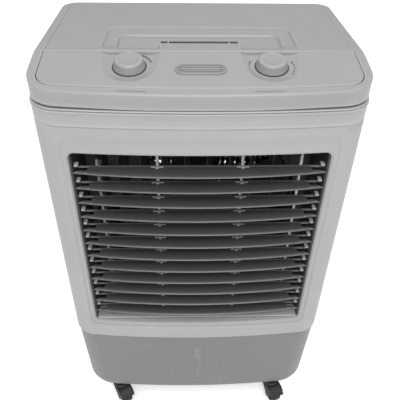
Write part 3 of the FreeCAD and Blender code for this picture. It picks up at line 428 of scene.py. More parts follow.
# Cover grey made lighter as painted light that offsets the shadow under the cover's skirt.
RING_PAINTED_LIGHT = Plastic("Ring grey with painted light", 0.58, 0.42)
FRAME = Plastic("Frame pale grey", 0.59, 0.5, Grip.MATT)
TANK = Plastic("Tank grey", 0.41, 0.5)
LOUVRE = Plastic("Louvre dark grey", 0.235, 0.36, mottle=0.04)
# Dark interior plastic, made darker still as painted shade for the inside of the cabinet.
INNER_DARK_AND_PAINTED_SHADE = Plastic("Inner dark grey with painted shade", 0.05, 0.65, Grip.MATT, mottle=0.04, edge=0.04)
# Black of the fan, also used as painted shade under the knobs, in the lid slot and in the screw recesses.
FAN_BLACK_AND_PAINTED_SHADE = Plastic("Fan black and painted shade", 0.05, 0.5, edge=0.02)
POST = Plastic("Post grey", 0.66, 0.5)
# Post grey made darker as painted shade for the clips behind the slats.
POST_PAINTED_SHADE = Plastic("Post grey with painted shade", 0.5, 0.5)
BADGE_FIELD = Plastic("Badge field", 0.36, 0.5, Grip.MATT, mottle=0.03)
BADGE_RIM = Plastic("Badge rim", 0.44, 0.4)
PINSTRIPE = Plastic("Badge pinstripe", 0.60, 0.45)
INK = Plastic("Printed marks", 0.22, 0.7, Grip.MATT)
CASTER = Plastic("Caster black", 0.03, 0.55, Grip.MATT, edge=0.01, dust=0.01)
TYRE = Plastic("Wheel black", 0.03, 0.6, Grip.MATT, grain=500.0, depth=0.00006, edge=0.01, dust=0.02)
SEAL = Plastic("Seal rubber", 0.16, 0.75, Grip.MATT, dust=0.1)
MOTOR = Metal("Motor enamel", 0.12, 0.55, 0.2, edge=0.05)
STEEL = Metal("Zinc plated steel", 0.72, 0.32)
WINDOW = SmokedWindow("Smoked window", 0.24, 0.42, 117.0, 227.0)
PAPER = PadPaper("Pad paper")


# ---------------------------------------------------------------- mesh building

class Shell:
    """Points and faces of one piece while it is being made."""

    def __init__(self) -> None:
        self.points: list[Point] = []
        self.faces: list[Sequence[int]] = []

    def ring(self, places: Sequence[Point]) -> list[int]:
        """Add a row of points.

        Args:
            places: the points, in order.

        Returns:
            Their numbers.
        """
        first = len(self.points)
        self.points.extend(tuple(p) for p in places)
        return list(range(first, len(self.points)))

    def bridge(self, one: list[int], two: list[int], closed: bool = True) -> None:
        """Join two rows of equally many points by quads."""
        count = len(one)
        for i in range(count if closed else count - 1):
            j = (i + 1) % count
            self.faces.append((one[i], one[j], two[j], two[i]))

    def loft(self, rows: Sequence[Sequence[Point]], closed: bool = True, round_trip: bool = False,
             caps: tuple[bool, bool] = (False, False)) -> "Shell":
        """Skin a stack of rows.

        Args:
            rows: equally long rows of points.
            closed: whether each row is a loop.
            round_trip: whether the last row joins the first, as in a ring-shaped solid.
            caps: whether the first and the last loop get a face of their own.

        Returns:
            The shell itself.
        """
        rings = [self.ring(row) for row in rows]
        for one, two in zip(rings, rings[1:]):
            self.bridge(one, two, closed)
        if round_trip:
            self.bridge(rings[-1], rings[0], closed)
        if caps[0]:
            self.faces.append(tuple(reversed(rings[0])))
        if caps[1]:
            self.faces.append(tuple(rings[-1]))
        return self

    def add(self, other: "Shell", place: Matrix | None = None) -> "Shell":
        """Take in another shell, moved by a matrix if one is given."""
        first = len(self.points)
        moved = other.points if place is None else [tuple(place @ Vector(p)) for p in other.points]
        self.points.extend(moved)
        self.faces.extend(tuple(first + i for i in face) for face in other.faces)
        return self

    def moved(self, place: Matrix) -> "Shell":
        """A copy moved by a matrix."""
        return Shell().add(self, place)


@dataclass(frozen=True)
class Plan:
    """Plan outline of the cabinet: a bowed front, rounded corners and a straight rear."""

    half: float
    front: float
    rear: float
    front_corner: float
    rear_corner: float
    bow: float = 2100.0
    front_steps: int = 66
    CORNER_STEPS = 12
    SIDE_STEPS = 16
    REAR_STEPS = 20

    def inset(self, depth: float) -> "Plan":
        """The same outline moved inwards."""
        return Plan(self.half - depth, self.front + depth, self.rear - depth,
                    max(0.3, self.front_corner - depth), max(0.3, self.rear_corner - depth),
                    self.bow - depth, self.front_steps)

    @property
    def corner_x(self) -> float:
        """Where the front corner's centre lies."""
        return self.half - self.front_corner

    @property
    def corner_y(self) -> float:
        """Depth at which the front corner's centre lies."""
        reach = self.bow - self.front_corner
        return self.front + self.bow - math.sqrt(reach ** 2 - self.corner_x ** 2)

    def face_y(self, x: float) -> float:
        """Depth of the front outline at a place across."""
        turn = math.asin(self.corner_x / (self.bow - self.front_corner))
        if abs(x) <= self.bow * math.sin(turn):
            return self.front + self.bow - math.sqrt(self.bow ** 2 - x ** 2)
        over = min(abs(x) - self.corner_x, self.front_corner)
        return self.corner_y - math.sqrt(max(0.0, self.front_corner ** 2 - over ** 2))

    def right_half(self) -> list[Flat]:
        """Points from the middle of the front to the middle of the rear."""
        turn = math.asin(self.corner_x / (self.bow - self.front_corner))
        points = []
        for i in range(self.front_steps):
            a = turn * i / self.front_steps
            points.append((self.bow * math.sin(a), self.front + self.bow * (1 - math.cos(a))))
        sweep = math.pi / 2 - turn
        for i in range(self.CORNER_STEPS):
            a = turn - math.pi / 2 + sweep * i / self.CORNER_STEPS
            points.append((self.corner_x + self.front_corner * math.cos(a),
                           self.corner_y + self.front_corner * math.sin(a)))
        back = self.rear - self.rear_corner
        for i in range(self.SIDE_STEPS):
            points.append((self.half, self.corner_y + (back - self.corner_y) * i / self.SIDE_STEPS))
        edge = self.half - self.rear_corner
        for i in range(self.CORNER_STEPS):
            a = math.pi / 2 * i / self.CORNER_STEPS
            points.append((edge + self.rear_corner * math.cos(a), back + self.rear_corner * math.sin(a)))
        points.extend((edge * (1 - i / self.REAR_STEPS), self.rear) for i in range(self.REAR_STEPS + 1))
        return points

    def points(self) -> list[Flat]:
        """The whole loop, counter-clockwise seen from above."""
        right = self.right_half()
        return right + [(-x, y) for x, y in reversed(right[1:-1])]

    def row(self, height: float | Callable[[float, float], float]) -> list[Point]:
        """The loop at a height, which may be a function of x and y."""
        if callable(height):
            return [(x, y, height(x, y)) for x, y in self.points()]
        return [(x, y, height) for x, y in self.points()]


@dataclass(frozen=True)
class RoundRect:
    """Rounded rectangle, written counter-clockwise from its lower left side."""

    left: float
    right: float
    low: float
    high: float
    corner: float
    side_steps: int = 20
    corner_steps: int = 8

    def grow(self, by: float) -> "RoundRect":
        """The same outline moved outwards."""
        return RoundRect(self.left - by, self.right + by, self.low - by, self.high + by,
                         max(0.05, self.corner + by), self.side_steps, self.corner_steps)

    def points(self) -> list[Flat]:
        """The loop's points."""
        r = self.corner
        centres = ((self.right - r, self.low + r, -90), (self.right - r, self.high - r, 0),
                   (self.left + r, self.high - r, 90), (self.left + r, self.low + r, 180))
        corners = []
        for x, y, start in centres:
            turns = (math.radians(start + 90 * i / self.corner_steps) for i in range(self.corner_steps + 1))
            corners.append([(x + r * math.cos(a), y + r * math.sin(a)) for a in turns])
        loop = []
        for here, after in zip(corners, corners[1:] + corners[:1]):
            loop.extend(here)
            (x0, y0), (x1, y1) = here[-1], after[0]
            for i in range(1, self.side_steps):
                t = i / self.side_steps
                loop.append((x0 + (x1 - x0) * t, y0 + (y1 - y0) * t))
        return loop

    def row(self, height: float | Callable[[float, float], float]) -> list[Point]:
        """The loop at a height, which may be a function of x and y."""
        if callable(height):
            return [(x, y, height(x, y)) for x, y in self.points()]
        return [(x, y, height) for x, y in self.points()]


def rounded_block(outline: RoundRect, low: float, high: float, edge: float, steps: int = 3) -> Shell:
    """Upright block with rounded top and bottom edges.

    Args:
        outline: its plan.
        low: height of its underside.
        high: height of its top.
        edge: radius of its edges.
        steps: facets in an edge.

    Returns:
        The block.
    """
    quarter = [math.pi / 2 * i / steps for i in range(steps + 1)]
    rows = [outline.grow(-edge * (1 - math.sin(a))).row(low + edge * (1 - math.cos(a))) for a in quarter]
    rows += [outline.grow(-edge * (1 - math.cos(a))).row(high - edge * (1 - math.sin(a))) for a in quarter]
    return Shell().loft(rows, caps=(True, True))


def turned(profile: Sequence[Flat], steps: int = 48) -> Shell:
    """Solid of revolution about Z.

    Args:
        profile: (radius, height) from the lower middle to the upper middle.
        steps: facets round the axis.

    Returns:
        The solid.
    """
    rows = []
    for radius, height in profile:
        rows.append([(max(radius, 0.01) * math.cos(2 * math.pi * i / steps),
                      max(radius, 0.01) * math.sin(2 * math.pi * i / steps), height) for i in range(steps)])
    return Shell().loft(rows, caps=(True, True))


def arc(centre: Flat, radius: float, start: float, end: float, steps: int = 5) -> list[Flat]:
    """Points of an arc between two angles in degrees."""
    turns = (math.radians(start + (end - start) * i / steps) for i in range(steps + 1))
    return [(centre[0] + radius * math.cos(a), centre[1] + radius * math.sin(a)) for a in turns]


def aimed(origin: Vector, axis: Vector) -> Matrix:
    """Matrix that stands a thing made about Z on an origin, along an axis, with its X kept level."""
    across = Vector((1, 0, 0)) if abs(axis.x) < 0.9 else Vector((0, 1, 0))
    ahead = axis.cross(across).normalized()
    across = ahead.cross(axis).normalized()
    turn = Matrix((across, ahead, axis)).transposed().to_4x4()
    return Matrix.Translation(origin) @ turn


def publish(name: str, shell: Shell, finish: Finish, body: str = HOUSING,
            replaces: Sequence[str] = (), sharp: float = 32.0) -> bpy.types.Object:
    """Turn a shell into a piece that rides on a body.

    Args:
        name: the piece's name.
        shell: its points and faces, in millimetres.
        finish: its finish.
        body: the CAD body that it moves with.
        replaces: the CAD nodes that it stands for.
        sharp: angle in degrees over which an edge is drawn sharp.

    Returns:
        The object.
    """
    mesh = bpy.data.meshes.new(name)
    work = bmesh.new()
    places = [work.verts.new(Vector(p) * MM) for p in shell.points]
    for face in shell.faces:
        corners = list(dict.fromkeys(face))
        if len(corners) > 2:
            work.faces.new([places[i] for i in corners])
    bmesh.ops.remove_doubles(work, verts=work.verts, dist=0.000004)
    bmesh.ops.dissolve_degenerate(work, edges=work.edges, dist=0.000004)
    bmesh.ops.recalc_face_normals(work, faces=work.faces)
    work.to_mesh(mesh)
    work.free()
    for polygon in mesh.polygons:
        polygon.use_smooth = True
    mesh.set_sharp_from_angle(angle=math.radians(sharp))
    mesh.materials.append(finish.material())
    piece = bpy.data.objects.new(name, mesh)
    bpy.context.scene.collection.objects.link(piece)
    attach(piece, body)
    if replaces:
        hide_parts(*replaces)
    log.info("%s: %d faces on %s", name, len(mesh.polygons), body)
    return piece


def dress(node: str, finish: Finish, sharp: float = 30.0) -> None:
    """Give a carried-over CAD node its finish and smooth shading.

    Args:
        node: the CAD node.
        finish: its finish.
        sharp: angle in degrees over which an edge is drawn sharp.
    """
    mesh = frame["nodes"][node].data
    mesh.materials.clear()
    mesh.materials.append(finish.material())
    for polygon in mesh.polygons:
        polygon.use_smooth = True
        polygon.material_index = 0
    mesh.set_sharp_from_angle(angle=math.radians(sharp))
    log.info("%s: CAD node dressed in %s", node, finish.name)


def spread(start: float, end: float, step: float, marks: Sequence[float] = ()) -> list[float]:
    """Even places from start to end that also hit every mark.

    Args:
        start: first place.
        end: last place.
        step: largest gap.
        marks: places that must be met.

    Returns:
        The places in order.
    """
    stops = sorted({start, end, *(m for m in marks if start < m < end)})
    places = [start]
    for here, after in zip(stops, stops[1:]):
        count = max(1, math.ceil((after - here) / step))
        places.extend(here + (after - here) * i / count for i in range(1, count + 1))
    return places


Height = Callable[[float, float], float]


def sheet(columns: Sequence[float], shares: Sequence[float], front: Callable[[float], float], rear: float,
          top: Height, bottom: Height, hole: Callable[[float, float], bool] | None = None) -> Shell:
    """Closed plate over a plan, with a free upper and lower height.

    Args:
        columns: places across.
        shares: places from the front edge (0) to the rear edge (1).
        front: the front edge's y at a place across.
        rear: the rear edge's y.
        top: height of the upper face.
        bottom: height of the lower face.
        hole: tells whether a cell is cut out.

    Returns:
        The plate.
    """
    made = Shell()
    lines = [[(x, front(x) + (rear - front(x)) * t) for t in shares] for x in columns]
    upper = [made.ring([(x, y, top(x, y)) for x, y in line]) for line in lines]
    lower = [made.ring([(x, y, bottom(x, y)) for x, y in line]) for line in lines]
    across, along = len(columns) - 1, len(shares) - 1

    def solid(i: int, j: int) -> bool:
        """Whether the cell exists."""
        if not (0 <= i < across and 0 <= j < along):
            return False
        x = (lines[i][j][0] + lines[i + 1][j][0]) / 2
        y = (lines[i][j][1] + lines[i][j + 1][1]) / 2
        return not (hole and hole(x, y))

    for i in range(across):
        for j in range(along):
            if not solid(i, j):
                continue
            made.faces.append((upper[i][j], upper[i + 1][j], upper[i + 1][j + 1], upper[i][j + 1]))
            made.faces.append((lower[i][j], lower[i][j + 1], lower[i + 1][j + 1], lower[i + 1][j]))
            rims = ((-1, 0, (i, j), (i, j + 1)), (1, 0, (i + 1, j + 1), (i + 1, j)),
                    (0, -1, (i + 1, j), (i, j)), (0, 1, (i, j + 1), (i + 1, j + 1)))
            for di, dj, a, b in rims:
                if not solid(i + di, j + dj):
                    (ai, aj), (bi, bj) = a, b
                    made.faces.append((upper[ai][aj], upper[bi][bj], lower[bi][bj], lower[ai][aj]))
    return made


class Wrap:
    """Upright wall that follows an outline, addressed by length along it, height and depth behind it."""

    def __init__(self, outline: Sequence[Flat]) -> None:
        self.spots = [Vector(p) for p in outline]
        self.reach = [0.0]
        for here, after in zip(self.spots, self.spots[1:]):
            self.reach.append(self.reach[-1] + (after - here).length)
        self.length = self.reach[-1]

    def at(self, s: float, z: float, depth: float) -> Point:
        """Place on the wall, s being measured from the middle of the outline."""
        along = min(max(s + self.length / 2, 0.0), self.length)
        low, high = 0, len(self.reach) - 1
        while high - low > 1:
            mid = (low + high) // 2
            low, high = (mid, high) if self.reach[mid] <= along else (low, mid)
        share = (along - self.reach[low]) / (self.reach[high] - self.reach[low])
        here = self.spots[low].lerp(self.spots[high], share)
        inward = self.normal(low).lerp(self.normal(high), share).normalized()
        return here.x + inward.x * depth, here.y + inward.y * depth, z

    def normal(self, index: int) -> Vector:
        """Inward direction at a point of the outline."""
        ahead = self.spots[min(index + 1, len(self.spots) - 1)] - self.spots[max(index - 1, 0)]
        return Vector((-ahead.y, ahead.x)).normalized()


# ---------------------------------------------------------------- top of the cooler

@dataclass(frozen=True)
class Roof:
    """Flat top that rolls over a crease into the sloping front."""

    top: float
    crease: float
    slope: float = math.tan(math.radians(11.2))
    roll: float = 8.0

    def height(self, y: float) -> float:
        """Height of the surface at a depth."""
        ahead = self.crease - y
        if ahead <= -self.roll:
            return self.top
        if ahead >= self.roll:
            return self.top - self.slope * ahead
        return self.top - self.slope * (ahead + self.roll) ** 2 / (4 * self.roll)


def cover_plan() -> Plan:
    """Outline of the top cover's skirt."""
    box = Extent.of("top_cover")
    return Plan(box.high.x, box.low.y, box.high.y, FRONT_CORNER, 28)


def make_roof() -> Roof:
    """Roof over the lid and the panel, creased where the two meet."""
    return Roof(Extent.of("top_cover").high.z, Extent.of("fill_lid").low.y - 0.8)


def knob_foot(joint: str) -> Vector:
    """Where a knob's axis meets the sloping surface."""
    point, axis = joint_place(joint)
    roof = make_roof()
    return point + axis * (roof.height(point.y) - point.z) / (axis.z - roof.slope * axis.y)


@dataclass(frozen=True)
class TopCover:
    """Moulded cover: skirt, rounded brow, rim strip and the rebate for lid and panel."""

    brow: float = 3.0
    rim_drop: float = 1.0
    rebate: float = 8.0
    ledge: float = 5.0
    wall: float = 3.0
    gap: float = 0.8
    patch_depth: float = 0.9

    def build(self) -> None:
        """Make the cover's shell."""
        plan, roof = cover_plan(), make_roof()
        lid, panel = Extent.of("fill_lid"), Extent.of("control_panel")
        opening = Plan(panel.high.x + self.gap, panel.low.y - 1.8, lid.high.y + self.gap, 30, 3, 2700)
        ring_top = Extent.of("upper_ring").low.z + 28.8

        def foot(x: float, y: float) -> float:
            """Lower edge of the skirt, which lifts off the ring towards the corners."""
            return ring_top + 2.8 * ease(abs(x), 70, 235) * ease(-y, 60, 150) + 2.0 * ease(-y, 60, -60)

        def rim(x: float, y: float) -> float:
            """Upper face of the rim strip."""
            return roof.height(y) - self.rim_drop

        def patched(x: float, y: float) -> float:
            """Rim strip with its two shallow front recesses."""
            inside = y < panel.low.y + 6 and (-120 < x < -77 or 74 < x < 117)
            return rim(x, y) - (self.patch_depth if inside else 0.0)

        rows = [plan.inset(0.8).row(foot), plan.row(lambda x, y: foot(x, y) + 0.8)]
        for share in (0.25, 0.5, 0.75):
            rows.append(plan.row(lambda x, y, t=share: foot(x, y) * (1 - t) + (rim(x, y) - self.brow) * t))
        for step in range(6):
            a = math.pi / 2 * step / 5
            drop = self.brow * (1 - math.sin(a))
            rows.append(plan.inset(self.brow * (1 - math.cos(a))).row(lambda x, y, d=drop: rim(x, y) - d))
        outer, inner = plan.inset(self.brow), opening.inset(-0.7)
        for share, height in ((0.12, rim), (0.16, patched), (0.8, patched), (0.85, rim)):
            rows.append(self.between(outer, inner, share, height))
        rows += [inner.row(rim), opening.row(lambda x, y: rim(x, y) - 0.7),
                 opening.row(lambda x, y: roof.height(y) - self.rebate),
                 opening.inset(self.ledge).row(lambda x, y: roof.height(y) - self.rebate),
                 opening.inset(self.ledge).row(lambda x, y: roof.height(y) - self.rebate - self.wall),
                 plan.inset(self.wall).row(lambda x, y: roof.height(y) - self.rebate - self.wall),
                 plan.inset(self.wall).row(foot)]
        publish("cover_shell", Shell().loft(rows, round_trip=True), COVER,
                replaces=("top_cover",))

    def between(self, outer: Plan, inner: Plan, share: float, height: Height) -> list[Point]:
        """Row of points a share of the way from one plan to another."""
        rows = zip(outer.points(), inner.points())
        flat = [(a[0] + (b[0] - a[0]) * share, a[1] + (b[1] - a[1]) * share) for a, b in rows]
        return [(x, y, height(x, y)) for x, y in flat]


@dataclass(frozen=True)
class HandRecess:
    """One step of the lid's hand recess, open towards the crease."""

    half: float
    rear: float
    corner: float
    depth: float
    wall: float = 2.4

    def drop(self, x: float, y: float) -> float:
        """Depth of the step at a place."""
        over_x = abs(x) - (self.half - self.corner)
        over_y = y - (self.rear - self.corner)
        outside = math.hypot(max(over_x, 0), max(over_y, 0)) + min(max(over_x, over_y), 0) - self.corner
        return self.depth * (1 - ease(outside, -self.wall, 0))


@dataclass(frozen=True)
class FillLid:
    """Lid over the fill opening, with a stepped hand recess, a grip bar and a finger slot."""

    steps: tuple[HandRecess, ...] = (HandRecess(152.5, 36, 24, 2.6), HandRecess(131, 4.5, 12, 3.2, 2.0))
    fade: tuple[float, float] = (-44.0, -68.0)
    slot_half: float = 62.0
    slot: tuple[float, float] = (-39.0, -13.0)
    thickness: float = 2.6
    edge: float = 1.6

    def build(self) -> None:
        """Make the lid, its finger well and its hinge barrel."""
        roof, box = make_roof(), Extent.of("fill_lid")
        half = Extent.of("control_panel").high.x
        front, rear = box.low.y, box.high.y

        def recess(x: float, y: float) -> float:
            """Depth of the hand recess, with the grip bar left standing."""
            depth = sum(step.drop(x, y) for step in self.steps) * ease(y, self.fade[1], self.fade[0])
            across = ease(abs(x), self.slot_half + 2, self.slot_half)
            bar = across * ease(y, self.slot[0] + 0.6, self.slot[0] - 1.4)
            return depth * (1 - bar)

        def top(x: float, y: float) -> float:
            """Upper face with rounded edges."""
            near = max(0.0, min(half - abs(x), y - front, rear - y))
            fall = self.edge - math.sqrt(self.edge ** 2 - (self.edge - min(near, self.edge)) ** 2)
            return roof.height(y) - recess(x, y) - fall

        def bottom(x: float, y: float) -> float:
            """Lower face."""
            near = min(half - abs(x), y - front, rear - y)
            skirt = 2.6 * ease(near, 4.0, 2.6)
            return roof.height(y) - recess(x, y) - self.thickness - skirt

        hems = (0.35, 0.9, 1.7, 2.6, 4.0)
        bar = [self.slot_half + d for d in (0.0, 1.0, 2.0, 3.0)]
        columns = spread(-half, half, 2.2, [*(h - half for h in hems), *(half - h for h in hems),
                                            *bar, *(-b for b in bar)])
        lines = spread(front, rear, 2.0,
                       [*(front + h for h in hems), *(rear - h for h in hems), *self.slot])
        shares = [(y - front) / (rear - front) for y in lines]
        hole = self.slot
        cut = sheet(columns, shares, lambda x: front, rear, top, bottom,
                    lambda x, y: abs(x) < self.slot_half and hole[0] < y < hole[1])
        publish("lid_panel", cut, COVER, "fill_lid", ("fill_lid",), sharp=40)
        self.well(roof)
        self.hinge(box)

    def well(self, roof: Roof) -> None:
        """Finger well under the slot in black as painted shade, with its two ribs."""
        floor = roof.top - 8.6
        outline = RoundRect(-self.slot_half - 1.5, self.slot_half + 1.5,
                            self.slot[0] - 1.5, self.slot[1] + 1.5, 2)
        shade_cup = Shell().loft([outline.row(floor + 2.4), outline.row(floor), outline.grow(-1.4).row(floor),
                            outline.grow(-1.4).row(floor + 0.8)], caps=(False, True))
        shade_cup.loft([outline.grow(-1.4).row(floor + 0.8), outline.row(floor + 2.4)])
        # Black finish: painted shade in the deep slot.
        publish("lid_finger_well_painted_shade", shade_cup, FAN_BLACK_AND_PAINTED_SHADE, "fill_lid")
        ribs = Shell()
        for x in (-50.0, 48.0):
            rib = RoundRect(x - 1.0, x + 1.0, self.slot[0] - 0.5, self.slot[1] + 0.5, 0.4, 2, 2)
            ribs.add(rounded_block(rib, roof.top - 7.5, roof.top - 5.4, 0.4))
        publish("lid_slot_ribs", ribs, COVER, "fill_lid")

    def hinge(self, box: Extent) -> None:
        """Hinge barrel under the lid's rear edge, in knuckles."""
        point, _axis = joint_place("lid_hinge")
        knuckles = Shell()
        for middle in (-200.0, -100.0, 0.0, 100.0, 200.0):
            barrel = turned([(2.2, -26), (2.8, -25.4), (2.8, 25.4), (2.2, 26)], 24)
            knuckles.add(barrel, aimed(Vector((middle, point.y, point.z - 0.6)), Vector((1, 0, 0))))
        pin = turned([(1.4, box.low.x + 0.6), (1.6, box.low.x + 1),
                      (1.6, box.high.x - 1), (1.4, box.high.x - 0.6)], 16)
        knuckles.add(pin, aimed(Vector((0, point.y, point.z - 0.6)), Vector((1, 0, 0))))
        publish("lid_hinge_barrel", knuckles, COVER, "fill_lid")


@dataclass(frozen=True)
class Scoop:
    """Finger scoop round a knob, open towards the crease."""

    x: float
    y: float
    floor: float = 27.0
    lip: float = 41.0
    widen: float = 5.0
    depth: float = 3.6
    deepen: float = 0.5

    def drop(self, x: float, y: float) -> float:
        """Depth of the scoop at a place."""
        ahead = y - self.y
        grow = max(0.0, ahead) / 36
        away = abs(x - self.x) if ahead > 0 else math.hypot(x - self.x, ahead)
        start, end = self.floor + self.widen * grow, self.lip + self.widen * grow
        rise = min(1.0, max(0.0, (away - start) / (end - start)))
        return (self.depth + self.deepen * grow) * (1 - rise ** 1.7)


@dataclass(frozen=True)
class ControlPanel:
    """Sloping panel with two knob scoops, the printed dial marks and the badge."""

    corner: float = 30.0
    bow: float = 2700.0
    edge: float = 2.2
    thickness: float = 2.4

    def build(self) -> None:
        """Make the panel and what is on it."""
        roof, box = make_roof(), Extent.of("control_panel")
        half, rear = box.high.x, box.high.y
        plan = Plan(half, box.low.y - 1.0, rear + 60, self.corner, 3, self.bow)
        knobs = [knob_foot(name) for name in ("function_turn", "speed_turn")]
        scoops = [Scoop(k.x, k.y) for k in knobs]

        def near(x: float, y: float) -> float:
            """Distance in from the panel's outline."""
            over_x, over_y = abs(x) - plan.corner_x, plan.corner_y - y
            if over_x > 0 and over_y > 0:
                return self.corner - math.hypot(over_x, over_y)
            return min(half - abs(x), y - plan.face_y(x), rear - y)

        def top(x: float, y: float) -> float:
            """Upper face with scoops and rounded edges."""
            fringe = min(max(near(x, y), 0.0), self.edge)
            fall = self.edge - math.sqrt(self.edge ** 2 - (self.edge - fringe) ** 2)
            return roof.height(y) - sum(s.drop(x, y) for s in scoops) - fall

        def bottom(x: float, y: float) -> float:
            """Lower face."""
            skirt = 2.4 * ease(near(x, y), 4.0, 2.6)
            return roof.height(y) - sum(s.drop(x, y) for s in scoops) - self.thickness - skirt

        hems = (0.3, 0.8, 1.5, 2.4, 4.0)
        columns = spread(-half, half, 1.9, [*(h - half for h in hems), *(half - h for h in hems)])
        length = rear - box.low.y
        shares = spread(0, 1, 1.9 / length, [*(h / length for h in hems), *(1 - h / length for h in hems)])
        plate = sheet(columns, shares, plan.face_y, rear, top, bottom)
        publish("sloping_panel", plate, COVER, replaces=("control_panel",), sharp=40)
        self.marks(knobs)
        self.badge()

    def marks(self, knobs: list[Vector]) -> None:
        """Printed dashes round the right knob and the arc beside the left one."""
        axis = joint_place("speed_turn")[1]
        dashes = Shell()
        for knob, spans in ((knobs[1], ((155, 220, 5), (25, -40, 5))), (knobs[0], ((60, 20, 1),))):
            place = aimed(knob, axis)
            for start, end, count in spans:
                for i in range(count):
                    sweep = (end - start) / count
                    a0 = start + sweep * (i + (0.12 if count > 1 else 0))
                    a1 = start + sweep * (i + (0.72 if count > 1 else 1))
                    dashes.add(self.dash(min(a0, a1), max(a0, a1)), place)
        publish("dial_marks", dashes, INK)

    def dash(self, start: float, end: float) -> Shell:
        """One printed dash on the scoop's wall, as a thin raised band of ink."""
        rows = []
        for radius, height in ((32.6, -2.9), (33.0, -2.45), (34.4, -2.15),
                               (34.8, -2.4), (34.4, -3.0), (33.0, -3.2)):
            rows.append([(x, y, height) for x, y in arc((0, 0), radius, start, end, 8)])
        strip = Shell()
        rings = [strip.ring(row) for row in rows]
        for one, two in zip(rings, rings[1:] + rings[:1]):
            strip.bridge(one, two, closed=False)
        strip.faces.append(tuple(r[0] for r in rings))
        strip.faces.append(tuple(r[-1] for r in reversed(rings)))
        return strip

    def badge(self) -> None:
        """Pill badge with a raised rim, a sunk field and three plain pinstripes."""
        box, axis = Extent.of("badge_plate"), joint_place("speed_turn")[1]
        half, radius = box.high.x, 13.0
        seat = Vector((0, box.centre.y, box.centre.z)) - axis * 1.1
        place = aimed(seat, axis)
        pill = RoundRect(-half, half, -radius, radius, radius - 0.05, 16, 12)
        rim = Shell().loft([pill.row(-0.6), pill.row(1.5),
                            pill.grow(-0.4).row(1.9), pill.grow(-0.9).row(1.9),
                            pill.grow(-1.3).row(1.5), pill.grow(-1.3).row(-0.6)], round_trip=True)
        publish("badge_rim", rim.moved(place), BADGE_RIM, replaces=("badge_plate",))
        inner = pill.grow(-1.2)
        field = Shell().loft([inner.row(-0.5), inner.row(1.45),
                              inner.grow(-4).row(1.55), inner.grow(-8).row(1.6)], caps=(True, True))
        publish("badge_field", field.moved(place), BADGE_FIELD)
        stripes = Shell()
        for offset, reach in ((-4.0, 27.0), (0.0, 32.0), (4.0, 27.0)):
            line = RoundRect(-reach, reach, offset - 0.45, offset + 0.45, 0.4, 8, 2)
            stripes.add(rounded_block(line, 1.3, 1.95, 0.2, 1))
        publish("badge_pinstripes", stripes.moved(place), PINSTRIPE)


@dataclass(frozen=True)
class DialKnob:
    """Round knob with a rolled shoulder, a shallow dished top and a pointer dot."""

    name: str
    joint: str
    base: float = 23.8
    top: float = 21.4
    tall: float = 10.6
    shoulder: float = 4.0
    sunk: float = 4.0

    def build(self) -> None:
        """Make the knob, the black ring round its foot that paints its contact shadow, and its dot."""
        box = Extent.of(self.name)
        axis = joint_place(self.joint)[1]
        foot = knob_foot(self.joint) - axis * self.sunk
        place = aimed(foot, axis)
        reach = self.height_in(box, foot, axis)
        body = self.cap(reach)
        publish(f"{self.name}_cap", body.moved(place), COVER, self.name, (self.name,))
        # Black ring round the knob's foot: painted shadow where the knob meets the panel.
        painted_shadow_ring = turned([(self.base - 2, -0.2), (self.base + 1.9, -0.2), (self.base + 1.9, 0.45),
                       (self.base + 1.4, 0.65), (self.base - 2, 0.65)], 64)
        publish(f"{self.name}_painted_shadow_ring", painted_shadow_ring.moved(place), FAN_BLACK_AND_PAINTED_SHADE)
        # The pointer dot is real; its lighter grey is a painted highlight.
        dot = turned([(1.9, -0.4), (1.9, 0.1), (1.5, 0.3), (0.1, 0.4)], 20)
        spot = Matrix.Translation((0, self.top - self.shoulder - 1.6, reach - 0.75))
        publish(f"{self.name}_dot", dot.moved(place @ spot), COVER_PAINTED_HIGHLIGHT, self.name)

    def height_in(self, box: Extent, foot: Vector, axis: Vector) -> float:
        """Height over the foot that keeps the knob's rear shoulder inside its CAD box."""
        lean = math.sqrt(1 - axis.z ** 2)
        room = (box.high.z - foot.z - (self.top - self.shoulder) * lean) / axis.z
        return min(self.tall + self.sunk, room - 0.9)

    def cap(self, tall: float) -> Shell:
        """The knob about Z, with a smooth flank."""
        centre = (self.top - self.shoulder, tall - self.shoulder)
        profile = [(self.base - 1.2, 0.5), (self.base, 1.1), (self.base, 2.2)]
        profile += [(self.base + (self.top - self.base) * t, 2.2 + (tall - self.shoulder - 2.2) * t)
                    for t in (0.25, 0.5, 0.75)]
        profile += arc(centre, self.shoulder, 0, 90, 7)
        profile += [(centre[0] - 1.2, tall - 0.05), (centre[0] - 2.2, tall - 0.45), (3.0, tall - 0.6)]
        return turned(profile, 96)


@dataclass(frozen=True)
class UpperRing:
    """Flared ring with a stepped double lip between the cover and the cabinet."""

    rise: float = 23.0

    def build(self) -> None:
        """Make the ring."""
        box = Extent.of("upper_ring")
        top = Plan(box.high.x, box.low.y, box.high.y, FRONT_CORNER + 2, 30)
        z0, z1 = box.low.z, box.low.z + self.rise
        steps = ((1.9, z0), (1.2, z0 + 0.8), (1.1, z0 + 6), (1.0, z0 + 13), (0.9, z1 - 1.6),
                 (0.4, z1 - 0.9), (0.05, z1), (0.0, z1 + 0.8), (0.3, z1 + 1.5), (1.0, z1 + 1.8),
                 (2.1, z1 + 1.9), (2.1, z1 + 2.6), (1.1, z1 + 2.9), (0.7, z1 + 3.6), (0.8, z1 + 4.4),
                 (1.4, z1 + 5.0), (2.3, z1 + 5.2), (6.5, z1 + 4.9),
                 (6.5, box.high.z - 0.6), (7.1, box.high.z), (9.5, box.high.z), (9.5, z0))
        rows = [top.inset(inset).row(height) for inset, height in steps]
        # Its grey is lightened as painted light against the shadow under the cover's skirt.
        publish("ring_double_lip", Shell().loft(rows, round_trip=True), RING_PAINTED_LIGHT,
                replaces=("upper_ring",))


# ---------------------------------------------------------------- cabinet

